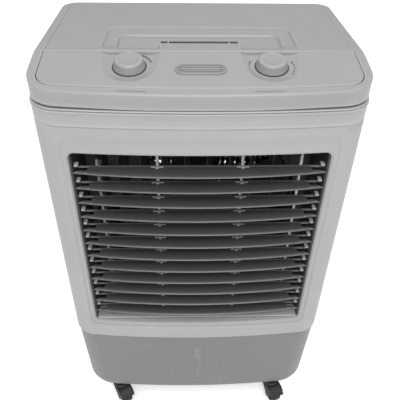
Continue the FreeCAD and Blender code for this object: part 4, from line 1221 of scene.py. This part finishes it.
@dataclass(frozen=True)
class WallPanel:
    """Moulded wall that wraps round the cabinet with one framed opening in its middle."""

    name: str
    node: str
    bezel: RoundRect
    mouth: RoundRect
    sunk_low: float
    sunk_high: float
    lip: float
    finish: Finish
    wall: float = 3.0
    edge: float = 2.2
    rings: int = 26
    sill: float = 0.0
    profile: tuple[Flat, ...] = ((0.06, 0.02), (0.2, 0.12), (0.5, 0.42), (0.85, 0.83), (1.0, 1.0))

    def outline(self) -> list[Flat]:
        """The outline that the wall follows."""
        box = Extent.of("front_frame")
        rear = Extent.of("cabinet_shell").high.y
        plan = Plan(box.high.x + 2.8, box.low.y, rear, FRONT_CORNER - 6, 27, front_steps=90)
        seam = box.high.y - 0.3
        right = plan.right_half()
        if self.node == "front_frame":
            side = [p for p in right if p[1] < seam and p[0] > 0 or p[0] == 0 and p[1] < 0]
            side.append((plan.half, seam))
            return [(-x, y) for x, y in reversed(side[1:])] + side
        side = [(plan.half, seam + 0.6)] + [p for p in right if p[1] > seam + 0.7]
        return side + [(-x, y) for x, y in reversed(side[:-1])]

    def build(self) -> None:
        """Make the wall with its rounded rim, bezel and inner lip."""
        box = Extent.of(self.node)
        wrap = Wrap(self.outline())
        reach, low, high = wrap.length / 2, box.low.z, box.high.z
        steps = (self.bezel.side_steps, self.bezel.corner_steps)
        outer = RoundRect(-reach, reach, low, high, 0.05, *steps)
        rows = [[(x, z, self.wall + 1.5) for x, z in outer.points()],
                [(x, z, self.edge) for x, z in outer.points()]]
        for step in (1, 2, 3):
            a = math.pi / 6 * step
            shrink = self.edge * (1 - math.cos(a))
            depth = self.edge * (1 - math.sin(a))
            rows.append([(x, z, depth) for x, z in outer.grow(-shrink).points()])
        field = outer.grow(-self.edge).points()
        bezel, mouth = self.bezel.points(), self.mouth.points()
        for step in range(1, self.rings + 1):
            rows.append([(*self.mix(a, b, step / self.rings), 0.0) for a, b in zip(field, bezel)])
        for share, curve in self.profile:
            rows.append([(*self.mix(a, b, share), self.sunk(b[1]) * curve) for a, b in zip(bezel, mouth)])
        rows.append([(x, z, self.sunk(z) + 0.9) for x, z in self.mouth.grow(-0.9).points()])
        rows.append([(x, z, self.back(z)) for x, z in self.mouth.grow(-0.9).points()])
        rows.append([(x, z, self.back(z)) for x, z in self.mouth.grow(1.6).points()])
        back = self.mouth.grow(1.8).points()
        rows.append([(x, z, self.sunk(z) + self.wall) for x, z in back])
        hem = outer.grow(-3).points()
        for step in range(self.rings + 1):
            share = step / self.rings
            rows.append([(*self.mix(a, b, share), self.wall + 1.5) for a, b in zip(bezel, hem)])
        shell = Shell().loft([[wrap.at(*place) for place in row] for row in rows], round_trip=True)
        publish(self.name, shell, self.finish, replaces=(self.node,), sharp=38)

    def mix(self, one: Flat, two: Flat, share: float) -> Flat:
        """Place between two places."""
        return one[0] + (two[0] - one[0]) * share, one[1] + (two[1] - one[1]) * share

    def back(self, z: float) -> float:
        """Depth of the lip's rear edge, further back along the sill."""
        return self.lip + self.sill * ease(z, self.mouth.low + 14, self.mouth.low + 2)

    def sunk(self, z: float) -> float:
        """Depth of the mouth's edge at a height."""
        share = (z - self.mouth.low) / (self.mouth.high - self.mouth.low)
        return self.sunk_low + (self.sunk_high - self.sunk_low) * min(1.0, max(0.0, share))


@dataclass(frozen=True)
class Outlet:
    """Air outlet: slats with their clips, link, light posts, bearing tabs, sill and vanes."""

    blade_half: float = 177.0
    nose_half: float = 198.0
    bow: float = 3200.0
    chord: float = 28.0
    barrel: float = 1.6
    post_x: float = 68.0
    tilt: float = 11.0
    slat_count: int = 12

    def build(self) -> None:
        """Make everything inside the outlet."""
        for number in range(1, self.slat_count + 1):
            self.slat(number)
        self.posts()
        self.lugs()
        self.strips()
        # Interior parts take the dark grey that also carries painted shade.
        for name in ("louvre_carrier", "fan_shroud"):
            dress(name, INNER_DARK_AND_PAINTED_SHADE)
        dress("slat_link_bar", LOUVRE)
        dress("vane_link_bar", LOUVRE)
        dress("swing_crank", MOTOR)
        dress("swing_motor", MOTOR)
        for number in range(1, 11):
            dress(f"vane_{number:02d}", INNER_DARK_AND_PAINTED_SHADE)

    def pivot(self, number: int) -> Vector:
        """Pivot of a slat in the middle of its length."""
        point, _axis = joint_place(f"slat_tilt_{number:02d}") if number == 1 else self.lower(number)
        return Vector((0, point.y, point.z))

    def lower(self, number: int) -> tuple[Vector, Vector]:
        """Pivot of a slat under the first one, from its place in the row of slats."""
        first, axis = joint_place("slat_tilt_01")
        drop = Extent.of("slat_01").low.z - Extent.of(f"slat_{number:02d}").low.z
        return Vector((first.x, first.y, first.z - drop)), axis

    def slat(self, number: int) -> None:
        """One bowed slat with a rounded front bead, its rear barrel, end pins and link arm."""
        name = f"slat_{number:02d}"
        half = self.nose_half
        rows = []
        neck = [self.blade_half + d for d in (-1.5, -0.5, 0.5, 1.5)]
        neck += [half - 5, half - 3, half - 1.5, half - 0.5]
        for x in spread(-half, half, 6.0, [*neck, *(-n for n in neck)]):
            near = min(half - abs(x), 1.5)
            slim = 0.55 + 0.45 * math.sqrt(max(0.0, 1 - (1 - near / 1.5) ** 2))
            front = -self.chord + 0.4 + x * x / self.bow
            rear = -9.5 * ease(abs(x), self.blade_half - 1.5, self.blade_half + 1.5)
            rear -= 5.5 * ease(abs(x), half - 7, half)
            rows.append([(x, y, z) for y, z in self.section(front, rear, slim)])
        blade = Shell().loft(rows, caps=(True, True))
        along = Vector((1, 0, 0))
        centre = aimed(Vector((0, 0, 0)), along)
        pin_half = Extent.of(name).high.x
        profile = [(1.4, -pin_half), (1.9, 0.5 - pin_half), (1.9, 14 - pin_half), (2.2, 14.5 - pin_half),
                   (self.barrel, 30 - pin_half), (self.barrel, pin_half - 30), (2.2, pin_half - 14.5),
                   (1.9, pin_half - 14), (1.9, pin_half - 0.5), (1.4, pin_half)]
        blade.add(turned(profile, 20), centre)
        blade.add(self.arm())
        turn = Matrix.Rotation(math.radians(self.tilt), 4, "X")
        place = Matrix.Translation(self.pivot(number)) @ turn
        publish(f"{name}_blade", blade.moved(place), LOUVRE, name, (name,), sharp=50)
        # The clips wear a darker copy of the post grey: painted shade.
        publish(f"{name}_clips", self.clips().moved(place), POST_PAINTED_SHADE, name)

    def section(self, front: float, rear: float, slim: float) -> list[Flat]:
        """Section of a slat, cambered, with a bead along its front edge."""
        upper, lower = [], []
        for i in range(11):
            t = i / 10
            y = front + (rear - front) * t
            rise = 4 * t * (1 - t) * 1.3 + 0.2
            upper.append((y + (0.55 if i == 0 else 0), rise + (0.75 + 0.2 * t) * slim))
            lower.append((y + (0.55 if i == 0 else 0), rise - (0.95 + 0.1 * t) * slim))
        nose = [(front, 0.2 + 0.35 * slim), (front - 0.25, 0.15), (front, -0.5 * slim)]
        return list(reversed(upper)) + nose + lower

    def arm(self) -> Shell:
        """Link arm with its stud, in the slat's own frame."""
        link = Extent.of("slat_link_bar")
        reach = 12.0
        inner = link.high.x + 2.5
        lever = rounded_block(RoundRect(-1.5, reach + 2.5, -2.3, 2.3, 2.2, 6, 6), 0, 2.4, 0.4)
        stand = Matrix(((0, 0, 1, inner), (1, 0, 0, 0), (0, 1, 0, 0), (0, 0, 0, 1)))
        made = lever.moved(stand)
        stud = turned([(1.1, link.low.x - 0.4), (1.45, link.low.x), (1.45, inner + 0.5)], 16)
        return made.add(stud, aimed(Vector((0, reach, 0)), Vector((1, 0, 0))))

    def clips(self) -> Shell:
        """Two T-shaped clips over the slat's back half, in the slat's own frame."""
        made = Shell()
        for x in (-self.post_x, self.post_x):
            bar = RoundRect(x - 10, x + 10, -5.2, -2.6, 0.8, 5, 4)
            made.add(rounded_block(bar, 1.0, 3.2, 0.6))
            stem = RoundRect(x - 2.6, x + 2.6, -8.0, -1.6, 1.2, 3, 4)
            made.add(rounded_block(stem, 0.8, 3.9, 0.8))
        return made

    def posts(self) -> None:
        """Two light upright posts behind the slats."""
        mouth = Extent.of("louvre_carrier")
        made = Shell()
        for x in (-self.post_x, self.post_x):
            post = RoundRect(x - 2.6, x + 2.6, -145.2, -138.8, 1.0, 3, 4)
            made.add(rounded_block(post, mouth.low.z + 1.2, mouth.high.z - 1.2, 0.6))
        publish("outlet_posts", made, POST)

    def lugs(self) -> None:
        """Light bearing tabs at both ends of each slat."""
        mouth = Extent.of("louvre_carrier")
        made = Shell()
        for number in range(1, self.slat_count + 1):
            pivot = self.pivot(number)
            for side in (-1, 1):
                middle = side * (mouth.high.x - 9)
                tab = RoundRect(middle - 3.2, middle + 3.2, pivot.y - 5, pivot.y + 6, 1.5, 4, 4)
                made.add(rounded_block(tab, pivot.z + 2.9, pivot.z + 5.6, 0.8))
        publish("outlet_bearing_tabs", made, POST)

    def strips(self) -> None:
        """Light upright strip at the right, and the sill under the lowest slat."""
        mouth = Extent.of("louvre_carrier")
        strip = RoundRect(163.0, 167.0, -136.5, -131.5, 0.8, 3, 3)
        made = rounded_block(strip, mouth.low.z + 2, mouth.high.z - 2, 0.5)
        sill = RoundRect(mouth.low.x + 4, mouth.high.x - 4, -158.5, -128, 2, 20, 4)
        made.add(rounded_block(sill, mouth.low.z + 3.2, mouth.low.z + 6.5, 1.0))
        publish("outlet_sill", made, POST)


@dataclass(frozen=True)
class WaterTank:
    """Lower tank with a raised band, a tongue round the level window, and its window."""

    proud: float = 1.3
    band: float = 224.0
    tongue_top: float = 62.0
    tongue_low: float = 56.0
    tongue_foot: float = 101.0
    soft: float = 2.2
    shoulder: float = 26.0
    foot: float = 70.0
    fuller: float = 4.0
    side_draft: float = 6.5
    end_draft: float = 7.0
    corner: float = 46.0

    def build(self) -> None:
        """Make the tank and its window."""
        box = Extent.of("water_tank")
        low, high = self.foot, box.high.z
        rows = []
        heights = [low + self.shoulder * (1 - math.cos(math.pi / 2 * i / 12)) for i in range(13)]
        heights += spread(low + self.shoulder, high, 2.0)[1:]
        plans = []
        for z in heights:
            share = (z - low) / (high - low)
            drop = max(0.0, (low + self.shoulder - z) / self.shoulder)
            side = self.shoulder * (1 - math.sqrt(1 - min(drop, 1.0) ** 2))
            half = box.high.x + self.fuller - self.side_draft * (1 - share) - side
            deep = box.high.y - self.end_draft * (1 - share)
            corner = max(12.0, self.corner - side * 0.4)
            front, rear = side * 0.16 - deep, deep - side * 0.5
            plans.append((z, Plan(half, front, rear, corner, 24, front_steps=120)))
        for z, plan in plans:
            rows.append([self.raised(x, y, z) for x, y in plan.points()])
        lowest = plans[0][1]
        rows.insert(0, lowest.inset(6).row(low))
        top = plans[-1][1]
        rows += [top.inset(3).row(high), top.inset(3).row(high - 20), lowest.inset(8).row(low + 3)]
        shell = Shell().loft(rows, caps=(True, True))
        publish("tank_shell", shell, TANK, replaces=("water_tank",), sharp=40)
        self.window()

    def raised(self, x: float, y: float, z: float) -> Point:
        """Point of the tank's outside, pushed out where the band and the tongue are."""
        if y > -100:
            return x, y, z
        half = self.tongue_low + (self.tongue_top - self.tongue_low) * (z - self.tongue_foot) / 107
        over_x, over_z = abs(x) - half + 9, self.tongue_foot - z + 9
        tongue = math.hypot(max(over_x, 0), max(over_z, 0)) + min(max(over_x, over_z), 0) - 9
        band = self.band - z
        blend = max(0.0, 1 - abs(tongue - band) / 12)
        outside = min(tongue, band) - blend * blend * 3
        rise = 1 - ease(outside, -self.soft, self.soft)
        if band < tongue:
            rise *= 1 - 0.75 * ease(abs(x), 120, 190)
        return x, y - self.proud * rise * ease(-y, 120, 150), z

    def window(self) -> None:
        """Smoked level window in its raised surround."""
        box = Extent.of("level_window")
        tank = Extent.of("water_tank")
        lean = self.end_draft / (tank.high.z - self.foot)
        face = tank.high.y - lean * (tank.high.z - box.centre.z) + self.proud + 0.5
        stand = Matrix(((1, 0, 0, 0), (0, -lean, -1, lean * box.centre.z), (0, 1, 0, 0), (0, 0, 0, 1)))
        glass = RoundRect(-5.4, 5.4, box.low.z - 2, box.high.z + 1, 2.4, 24, 6)
        pane = rounded_block(glass, face - 5.0, face + 0.1, 0.7)
        publish("level_pane", pane.moved(stand), WINDOW, replaces=("level_window",))
        outer = glass.grow(1.5)
        surround = Shell().loft([outer.row(face - 6), outer.row(face - 0.6),
                                 outer.grow(-0.4).row(face - 0.2),
                                 glass.grow(0.3).row(face - 0.3), glass.grow(0.2).row(face - 1.4),
                                 glass.grow(0.2).row(face - 6)], round_trip=True)
        publish("level_surround", surround.moved(stand), TANK)


# ---------------------------------------------------------------- rear and running gear

@dataclass(frozen=True)
class Cassette:
    """Pull-off rear grille with slots, and the corrugated pad behind it."""

    slots: int = 21
    pitch: float = 19.6
    slot_height: float = 12.0
    flutes: int = 34

    def build(self) -> None:
        """Make the grille and the pad."""
        self.grille()
        self.pad()

    def grille(self) -> None:
        """Rear grille as a plate with two columns of rounded slots."""
        box = Extent.of("rear_grille")
        low, high, half = box.low.z, box.high.z, box.high.x
        first = box.centre.z - self.pitch * (self.slots - 1) / 2
        middles = [first + self.pitch * i for i in range(self.slots)]
        openings = [(z - self.slot_height / 2, z + self.slot_height / 2) for z in middles]
        edges = [z for pair in openings for z in pair]
        columns = spread(-half, half, 14, (-half + 0.6, -half + 2, half - 2, half - 0.6,
                                           -186, -12, 12, 186))
        lines = spread(low, high, 7, [low + 0.6, low + 2, high - 0.6, high - 2, *edges])
        shares = [(z - low) / (high - low) for z in lines]

        def near(x: float, z: float) -> float:
            """Distance in from the plate's outline."""
            return min(half - abs(x), z - low, high - z)

        def top(x: float, z: float) -> float:
            """Rear face, softly rounded at its edges."""
            fringe = min(max(near(x, z), 0.0), 2.0)
            return box.high.y - (2.0 - math.sqrt(4 - (2 - fringe) ** 2))

        def cut(x: float, z: float) -> bool:
            """Whether the place lies in a slot."""
            return 12 < abs(x) < 186 and any(a < z < b for a, b in openings)

        plate = sheet(columns, shares, lambda x: low, high, top, lambda x, z: box.high.y - 5.0, cut)
        lay = Matrix(((1, 0, 0, 0), (0, 0, 1, 0), (0, 1, 0, 0), (0, 0, 0, 1)))
        made = plate.moved(lay)
        for z, _end in openings:
            for side in (-1, 1):
                tray = RoundRect(12.5, 185.5, 0, 10, 0.8, 10, 3)
                lean = Matrix.Rotation(math.radians(-38), 4, "X")
                slope = Matrix.Translation((0, box.high.y - 13.5, z + 8.0)) @ lean
                mirror = Matrix.Scale(side, 4, Vector((1, 0, 0)))
                made.add(rounded_block(tray, 0, 1.6, 0.4), mirror @ slope)
        hoop = [RoundRect(-half + d, half - d, low + d, high - d, 2, 24, 4) for d in (0.4, 3.0)]
        rim = Shell().loft([hoop[0].row(-box.high.y + 4.6), hoop[0].row(-box.low.y),
                            hoop[1].row(-box.low.y), hoop[1].row(-box.high.y + 4.6)], round_trip=True)
        stand = Matrix(((1, 0, 0, 0), (0, 0, -1, 0), (0, 1, 0, 0), (0, 0, 0, 1)))
        made.add(rim, stand)
        publish("grille_plate", made, FRAME, "pad_cassette", ("rear_grille",), sharp=35)

    def pad(self) -> None:
        """Corrugated pad: layers of crossed wavy sheets seen edge on."""
        box = Extent.of("cooling_pad")
        made = Shell()
        pitch = (box.high.x - box.low.x) / self.flutes
        depth = box.high.y - box.low.y
        for i in range(self.flutes):
            middle = box.low.x + pitch * (i + 0.5)
            lean = 1 if i % 2 else -1
            rows = []
            for y in spread(box.low.y, box.high.y, depth / 2):
                shift = lean * (y - box.centre.y) * 0.35
                loop = []
                for z in spread(box.low.z, box.high.z, 5.5):
                    wave = math.sin((z + shift) / 22 * 2 * math.pi)
                    loop.append((middle + wave * pitch * 0.32 - 0.5, y, z))
                rows.append(loop + [(x + 1.0, y, z) for x, y, z in reversed(loop)])
            made.loft(rows, caps=(True, True))
        publish("pad_sheets", made, PAPER, "pad_cassette", ("cooling_pad",))


@dataclass(frozen=True)
class Caster:
    """Black swivel caster: crown with a metal race, hooded fork, axle caps and a treaded wheel."""

    corner: str
    cheek: float = 3.2
    hood: float = 24.0
    outside: float = 15.9
    bridge: float = 47.6

    def build(self) -> None:
        """Make the fork and the wheel."""
        centre, across = joint_place(f"roll_{self.corner}")
        pivot, _up = joint_place(f"swivel_{self.corner}")
        across = Vector((across.x, across.y, 0)).normalized()
        ahead = Vector((0, 0, 1)).cross(across)
        place = Matrix((across, ahead, Vector((0, 0, 1)))).transposed().to_4x4()
        place.translation = Vector((centre.x, centre.y, 0))
        toward = (Vector((pivot.x, pivot.y, 0)) - Vector((centre.x, centre.y, 0))).dot(ahead)
        self.fork(place, centre.z, toward)
        self.wheel(Matrix.Translation(centre) @ place.to_3x3().to_4x4())

    def fork(self, place: Matrix, axle: float, toward: float) -> None:
        """Cheeks, hood, axle caps and crown, in a frame with X along the axle."""
        made = Shell()
        outside = self.outside
        sign = 1 if toward > 0 else -1
        side = Matrix(((0, 0, 1, 0), (sign, 0, 0, 0), (0, 1, 0, 0), (0, 0, 0, 1)))
        for flip in (-1, 1):
            start = outside - self.cheek if flip > 0 else -outside
            outline = self.cheek_outline(axle, abs(toward))
            rows = [[(x, y, start + h) for x, y in self.shrunk(outline, d)]
                    for h, d in ((0, 0.5), (0.4, 0.1), (self.cheek - 0.4, 0.1), (self.cheek, 0.5))]
            made.add(Shell().loft(rows, caps=(True, True)), side)
            hub = turned([(5.2, 0), (5.2, 0.2), (4.6, 0.2), (2.4, 0.25)], 24)
            made.add(hub, Matrix.Translation((flip * (outside - 0.1), 0, axle))
                     @ aimed(Vector((0, 0, 0)), Vector((flip, 0, 0))))
        arch = []
        for angle in spread(24, 150, 9):
            a = math.radians(angle)
            ring = []
            for radius in (self.hood, self.hood + 2.6):
                ring.append((-outside + 0.3, sign * radius * math.cos(a), axle + radius * math.sin(a)))
                ring.append((outside - 0.3, sign * radius * math.cos(a), axle + radius * math.sin(a)))
            arch.append([ring[0], ring[1], ring[3], ring[2]])
        arch = [[(x, y, min(z, self.bridge)) for x, y, z in row] for row in arch]
        made.add(Shell().loft(arch, caps=(True, True)))
        crown = turned([(13.8, 44.6), (15.2, 45.4), (15.2, 48.0), (13.4, 49.4),
                        (9.4, 50), (9, 53), (8.6, 69)], 40)
        made.add(crown, Matrix.Translation((0, toward, 0)))
        publish(f"caster_{self.corner}_fork", made.moved(place), CASTER,
                f"caster_{self.corner}", (f"caster_fork_{self.corner}",), sharp=40)
        plate = turned([(15.4, 50.6), (16.6, 51), (16.6, 52.6), (15.8, 53.2), (9.6, 53.2)], 40)
        over_pivot = place @ Matrix.Translation((0, toward, 0))
        publish(f"caster_{self.corner}_race", plate.moved(over_pivot), MOTOR,
                f"caster_{self.corner}")

    def cheek_outline(self, axle: float, toward: float) -> list[Flat]:
        """Side outline of a cheek: a drop that hangs from the bridge round the axle."""
        low = arc((0, axle), 8.0, 180, 360, 14)
        return low + [(toward + 13.5, 40), (toward + 13, 46), (toward + 10, self.bridge),
                      (-10, self.bridge), (-17, 44), (-19, 38)]

    def shrunk(self, outline: list[Flat], by: float) -> list[Flat]:
        """Outline drawn in towards its middle."""
        x0 = sum(p[0] for p in outline) / len(outline)
        y0 = sum(p[1] for p in outline) / len(outline)
        return [(x - by * (1 if x > x0 else -1), y - by * (1 if y > y0 else -1)) for x, y in outline]

    def wheel(self, place: Matrix) -> None:
        """Wheel with a rounded tread, two grooves and a dished hub."""
        r, w = Extent.of(f"caster_wheel_{self.corner}").high.z / 2, 10.6
        flank = [(2.6, -w + 0.6), (8.5, -w + 0.6), (9.5, -w + 2.4),
                 (14.5, -w + 2.4), (15.5, -w + 0.2), (18.2, -w)]
        tread = [(r - 1.2, -w + 0.5), (r - 0.2, -w + 2.2), (r, -w + 3.6), (r, -4.6), (r - 1.1, -4.2),
                 (r - 1.1, -3.4), (r, -3.0)]
        half = flank + tread
        profile = half + [(radius, -height) for radius, height in reversed(half)]
        publish(f"caster_{self.corner}_tyre", turned(profile, 64).moved(place @ aimed(Vector((0, 0, 0)),
                Vector((1, 0, 0)))), TYRE, f"wheel_{self.corner}",
                (f"caster_wheel_{self.corner}",), sharp=38)


@dataclass(frozen=True)
class Fittings:
    """Case screws, drain plug, cord bush and the working parts inside."""

    screw_x: float = 208.0
    screw_heights: tuple[float, ...] = (300.0, 432.0, 568.0, 700.0)

    def build(self) -> None:
        """Make the screws and the plug, and dress the parts carried over from CAD."""
        self.screws()
        self.plug()
        # Interior parts take the dark grey that also carries painted shade.
        for name in ("speed_switch", "function_switch", "water_pump", "water_distributor", "riser_pipe"):
            dress(name, INNER_DARK_AND_PAINTED_SHADE)
        dress("fan_rotor", FAN_BLACK_AND_PAINTED_SHADE)
        dress("fan_motor", MOTOR)
        dress("motor_bracket", MOTOR)
        dress("cord_gland", SEAL)

    def screws(self) -> None:
        """Pan-head screws with a cross recess drawn as a black cross of painted shade."""
        face = Extent.of("case_screws").high.y
        made = Shell()
        head = turned([(1.6, -12.5), (1.6, -2.4), (3.55, -2.3), (3.55, -1.3),
                       (3.1, -0.5), (2.2, -0.05), (1.4, 0)], 28)
        cross = Shell()
        for turn in (0, 90):
            bar = RoundRect(-1.7, 1.7, -0.35, 0.35, 0.3, 3, 2)
            spin = Matrix.Rotation(math.radians(turn + 20), 4, "Z")
            cross.add(rounded_block(bar, -0.6, 0.04, 0.03, 1), spin)
        painted_shade = Shell()
        for x in (-self.screw_x, self.screw_x):
            for z in self.screw_heights:
                place = aimed(Vector((x, face - 0.06, z)), Vector((0, 1, 0)))
                made.add(head, place)
                painted_shade.add(cross, place)
        publish("wall_screws", made, STEEL, replaces=("case_screws",))
        # Black cross in each head: painted shade of the recess.
        publish("wall_screw_recess_shade", painted_shade, FAN_BLACK_AND_PAINTED_SHADE)

    def plug(self) -> None:
        """Rubber drain plug with a pull tab."""
        box = Extent.of("drain_plug")
        r = (box.high.x - box.low.x) / 2
        profile = [(5.2, box.low.y), (6.4, box.low.y + 1), (6.4, box.high.y - 6), (r, box.high.y - 5.6),
                   (r, box.high.y - 3.4), (r - 1, box.high.y - 2.6), (7.5, box.high.y - 2.4),
                   (6.6, box.high.y - 1.2), (5.2, box.high.y - 1.0)]
        made = turned([(radius, y - box.low.y) for radius, y in profile], 48)
        centre = Vector((box.centre.x, box.low.y, box.centre.z))
        shell = made.moved(aimed(centre, Vector((0, 1, 0))))
        tab = rounded_block(RoundRect(-4.5, 4.5, -1.4, 1.4, 1.2, 4, 4), 0, 3.4, 0.6)
        place = aimed(Vector((centre.x, box.high.y - 3.5, centre.z)), Vector((0, 1, 0)))
        shell.add(tab, place)
        publish("drain_bung", shell, SEAL, "drain_plug", ("drain_plug",))


# ---------------------------------------------------------------- stage

@dataclass(frozen=True)
class Studio:
    """Pale floor, soft lights and the camera."""

    eye: Point = (-0.0237, -0.798, 1.103)
    yaw: float = 1.887
    pitch: float = 37.80
    roll: float = 0.89
    lens: float = 44.116
    sky: float = 1.35
    horizon: float = 0.20

    def build(self) -> None:
        """Make the floor, the lights and the camera."""
        self.floor()
        self.lights()
        self.camera()

    def floor(self) -> None:
        """Wide pale floor."""
        mesh = bpy.data.meshes.new("floor")
        mesh.from_pydata([(-14, -10, 0), (14, -10, 0), (14, 20, 0), (-14, 20, 0)], [], [(0, 1, 2, 3)])
        ground = bpy.data.objects.new("floor", mesh)
        pale = bpy.data.materials.new("Pale floor")
        pale.use_nodes = True
        shader = pale.node_tree.nodes["Principled BSDF"]
        shader.inputs["Base Color"].default_value = (0.82, 0.82, 0.82, 1)
        shader.inputs["Roughness"].default_value = 0.95
        shader.inputs["Specular IOR Level"].default_value = 0.0
        shader.inputs["Emission Color"].default_value = (1, 1, 1, 1)
        shader.inputs["Emission Strength"].default_value = 0.4
        mesh.materials.append(pale)
        bpy.context.scene.collection.objects.link(ground)

    def lights(self) -> None:
        """Sky that brightens towards the zenith, and two softboxes in front."""
        world = bpy.data.worlds.new("Studio")
        world.use_nodes = True
        net = Wiring(world.node_tree)
        up = net.node("ShaderNodeTexCoord").outputs["Generated"]
        height = net.node("ShaderNodeSeparateXYZ", Vector=up).outputs["Z"]
        back = world.node_tree.nodes["Background"]
        net.feed(back.inputs["Color"], (1, 1, 1, 1))
        net.feed(back.inputs["Strength"], net.remap(height, 0.0, 0.9, self.horizon, self.sky))
        bpy.context.scene.world = world
        self.softbox("front_softbox", (0.1, -1.35, 2.15), (0, 0, 0.6), 1.1, 24)
        self.softbox("fill_softbox", (-0.2, -2.4, 1.2), (0, 0, 0.4), 1.2, 4)

    def softbox(self, name: str, place: Point, aim: Point, size: float, power: float) -> None:
        """Square area light aimed at a point."""
        lamp = bpy.data.lights.new(name, "AREA")
        lamp.size = size
        lamp.energy = power
        made = bpy.data.objects.new(name, lamp)
        made.location = place
        made.rotation_euler = (Vector(aim) - Vector(place)).to_track_quat("-Z", "Y").to_euler()
        bpy.context.scene.collection.objects.link(made)

    def camera(self) -> None:
        """Camera at the product view's angle."""
        yaw, pitch, roll = (math.radians(v) for v in (self.yaw, self.pitch, self.roll))
        right = Vector((math.cos(yaw), -math.sin(yaw), 0))
        ahead = Vector((math.sin(yaw) * math.cos(pitch), math.cos(yaw) * math.cos(pitch), -math.sin(pitch)))
        up = right.cross(ahead)
        level = math.cos(roll) * right + math.sin(roll) * up
        top = -math.sin(roll) * right + math.cos(roll) * up
        view = bpy.data.cameras.new("camera")
        view.lens = self.lens
        view.sensor_width = 36
        view.shift_x = 0.0048
        view.clip_start = 0.02
        made = bpy.data.objects.new("camera", view)
        pose = Matrix((level, top, -ahead)).transposed().to_4x4()
        pose.translation = Vector(self.eye)
        made.matrix_world = pose
        bpy.context.scene.collection.objects.link(made)
        bpy.context.scene.camera = made
        bpy.context.scene.view_settings.view_transform = "Standard"


def main() -> None:
    """Build every sub-assembly."""
    logging.basicConfig(level=logging.INFO, format="%(name)s: %(message)s")
    TopCover().build()
    FillLid().build()
    ControlPanel().build()
    DialKnob("function_knob", "function_turn").build()
    DialKnob("speed_knob", "speed_turn").build()
    UpperRing().build()
    mouth = Extent.of("louvre_carrier").high.x + 0.6
    WallPanel("front_bezel_frame", "front_frame", RoundRect(-mouth - 11, mouth + 11, 296, 737, 18, 90, 8),
              RoundRect(-mouth, mouth, 305.1, 702.9, 12, 90, 8), 6.5, 5.0, 18.5, FRAME, sill=9.0,
              profile=((0.05, 0.02), (0.12, 0.1), (0.22, 0.3), (0.34, 0.5), (0.46, 0.6), (0.56, 0.6),
                       (0.66, 0.56), (0.76, 0.54), (0.86, 0.6), (0.94, 0.74), (1.0, 1.0))).build()
    WallPanel("cabinet_walls", "cabinet_shell", RoundRect(-204, 204, 281, 721, 6, 70, 6),
              RoundRect(-201.9, 201.9, 283.1, 718.9, 4, 70, 6), 1.2, 1.2, 18.0, FRAME).build()
    Outlet().build()
    WaterTank().build()
    Cassette().build()
    for corner in ("front_left", "front_right", "rear_left", "rear_right"):
        Caster(corner).build()
    Fittings().build()
    Studio().build()


if __name__ == "__main__":
    main()
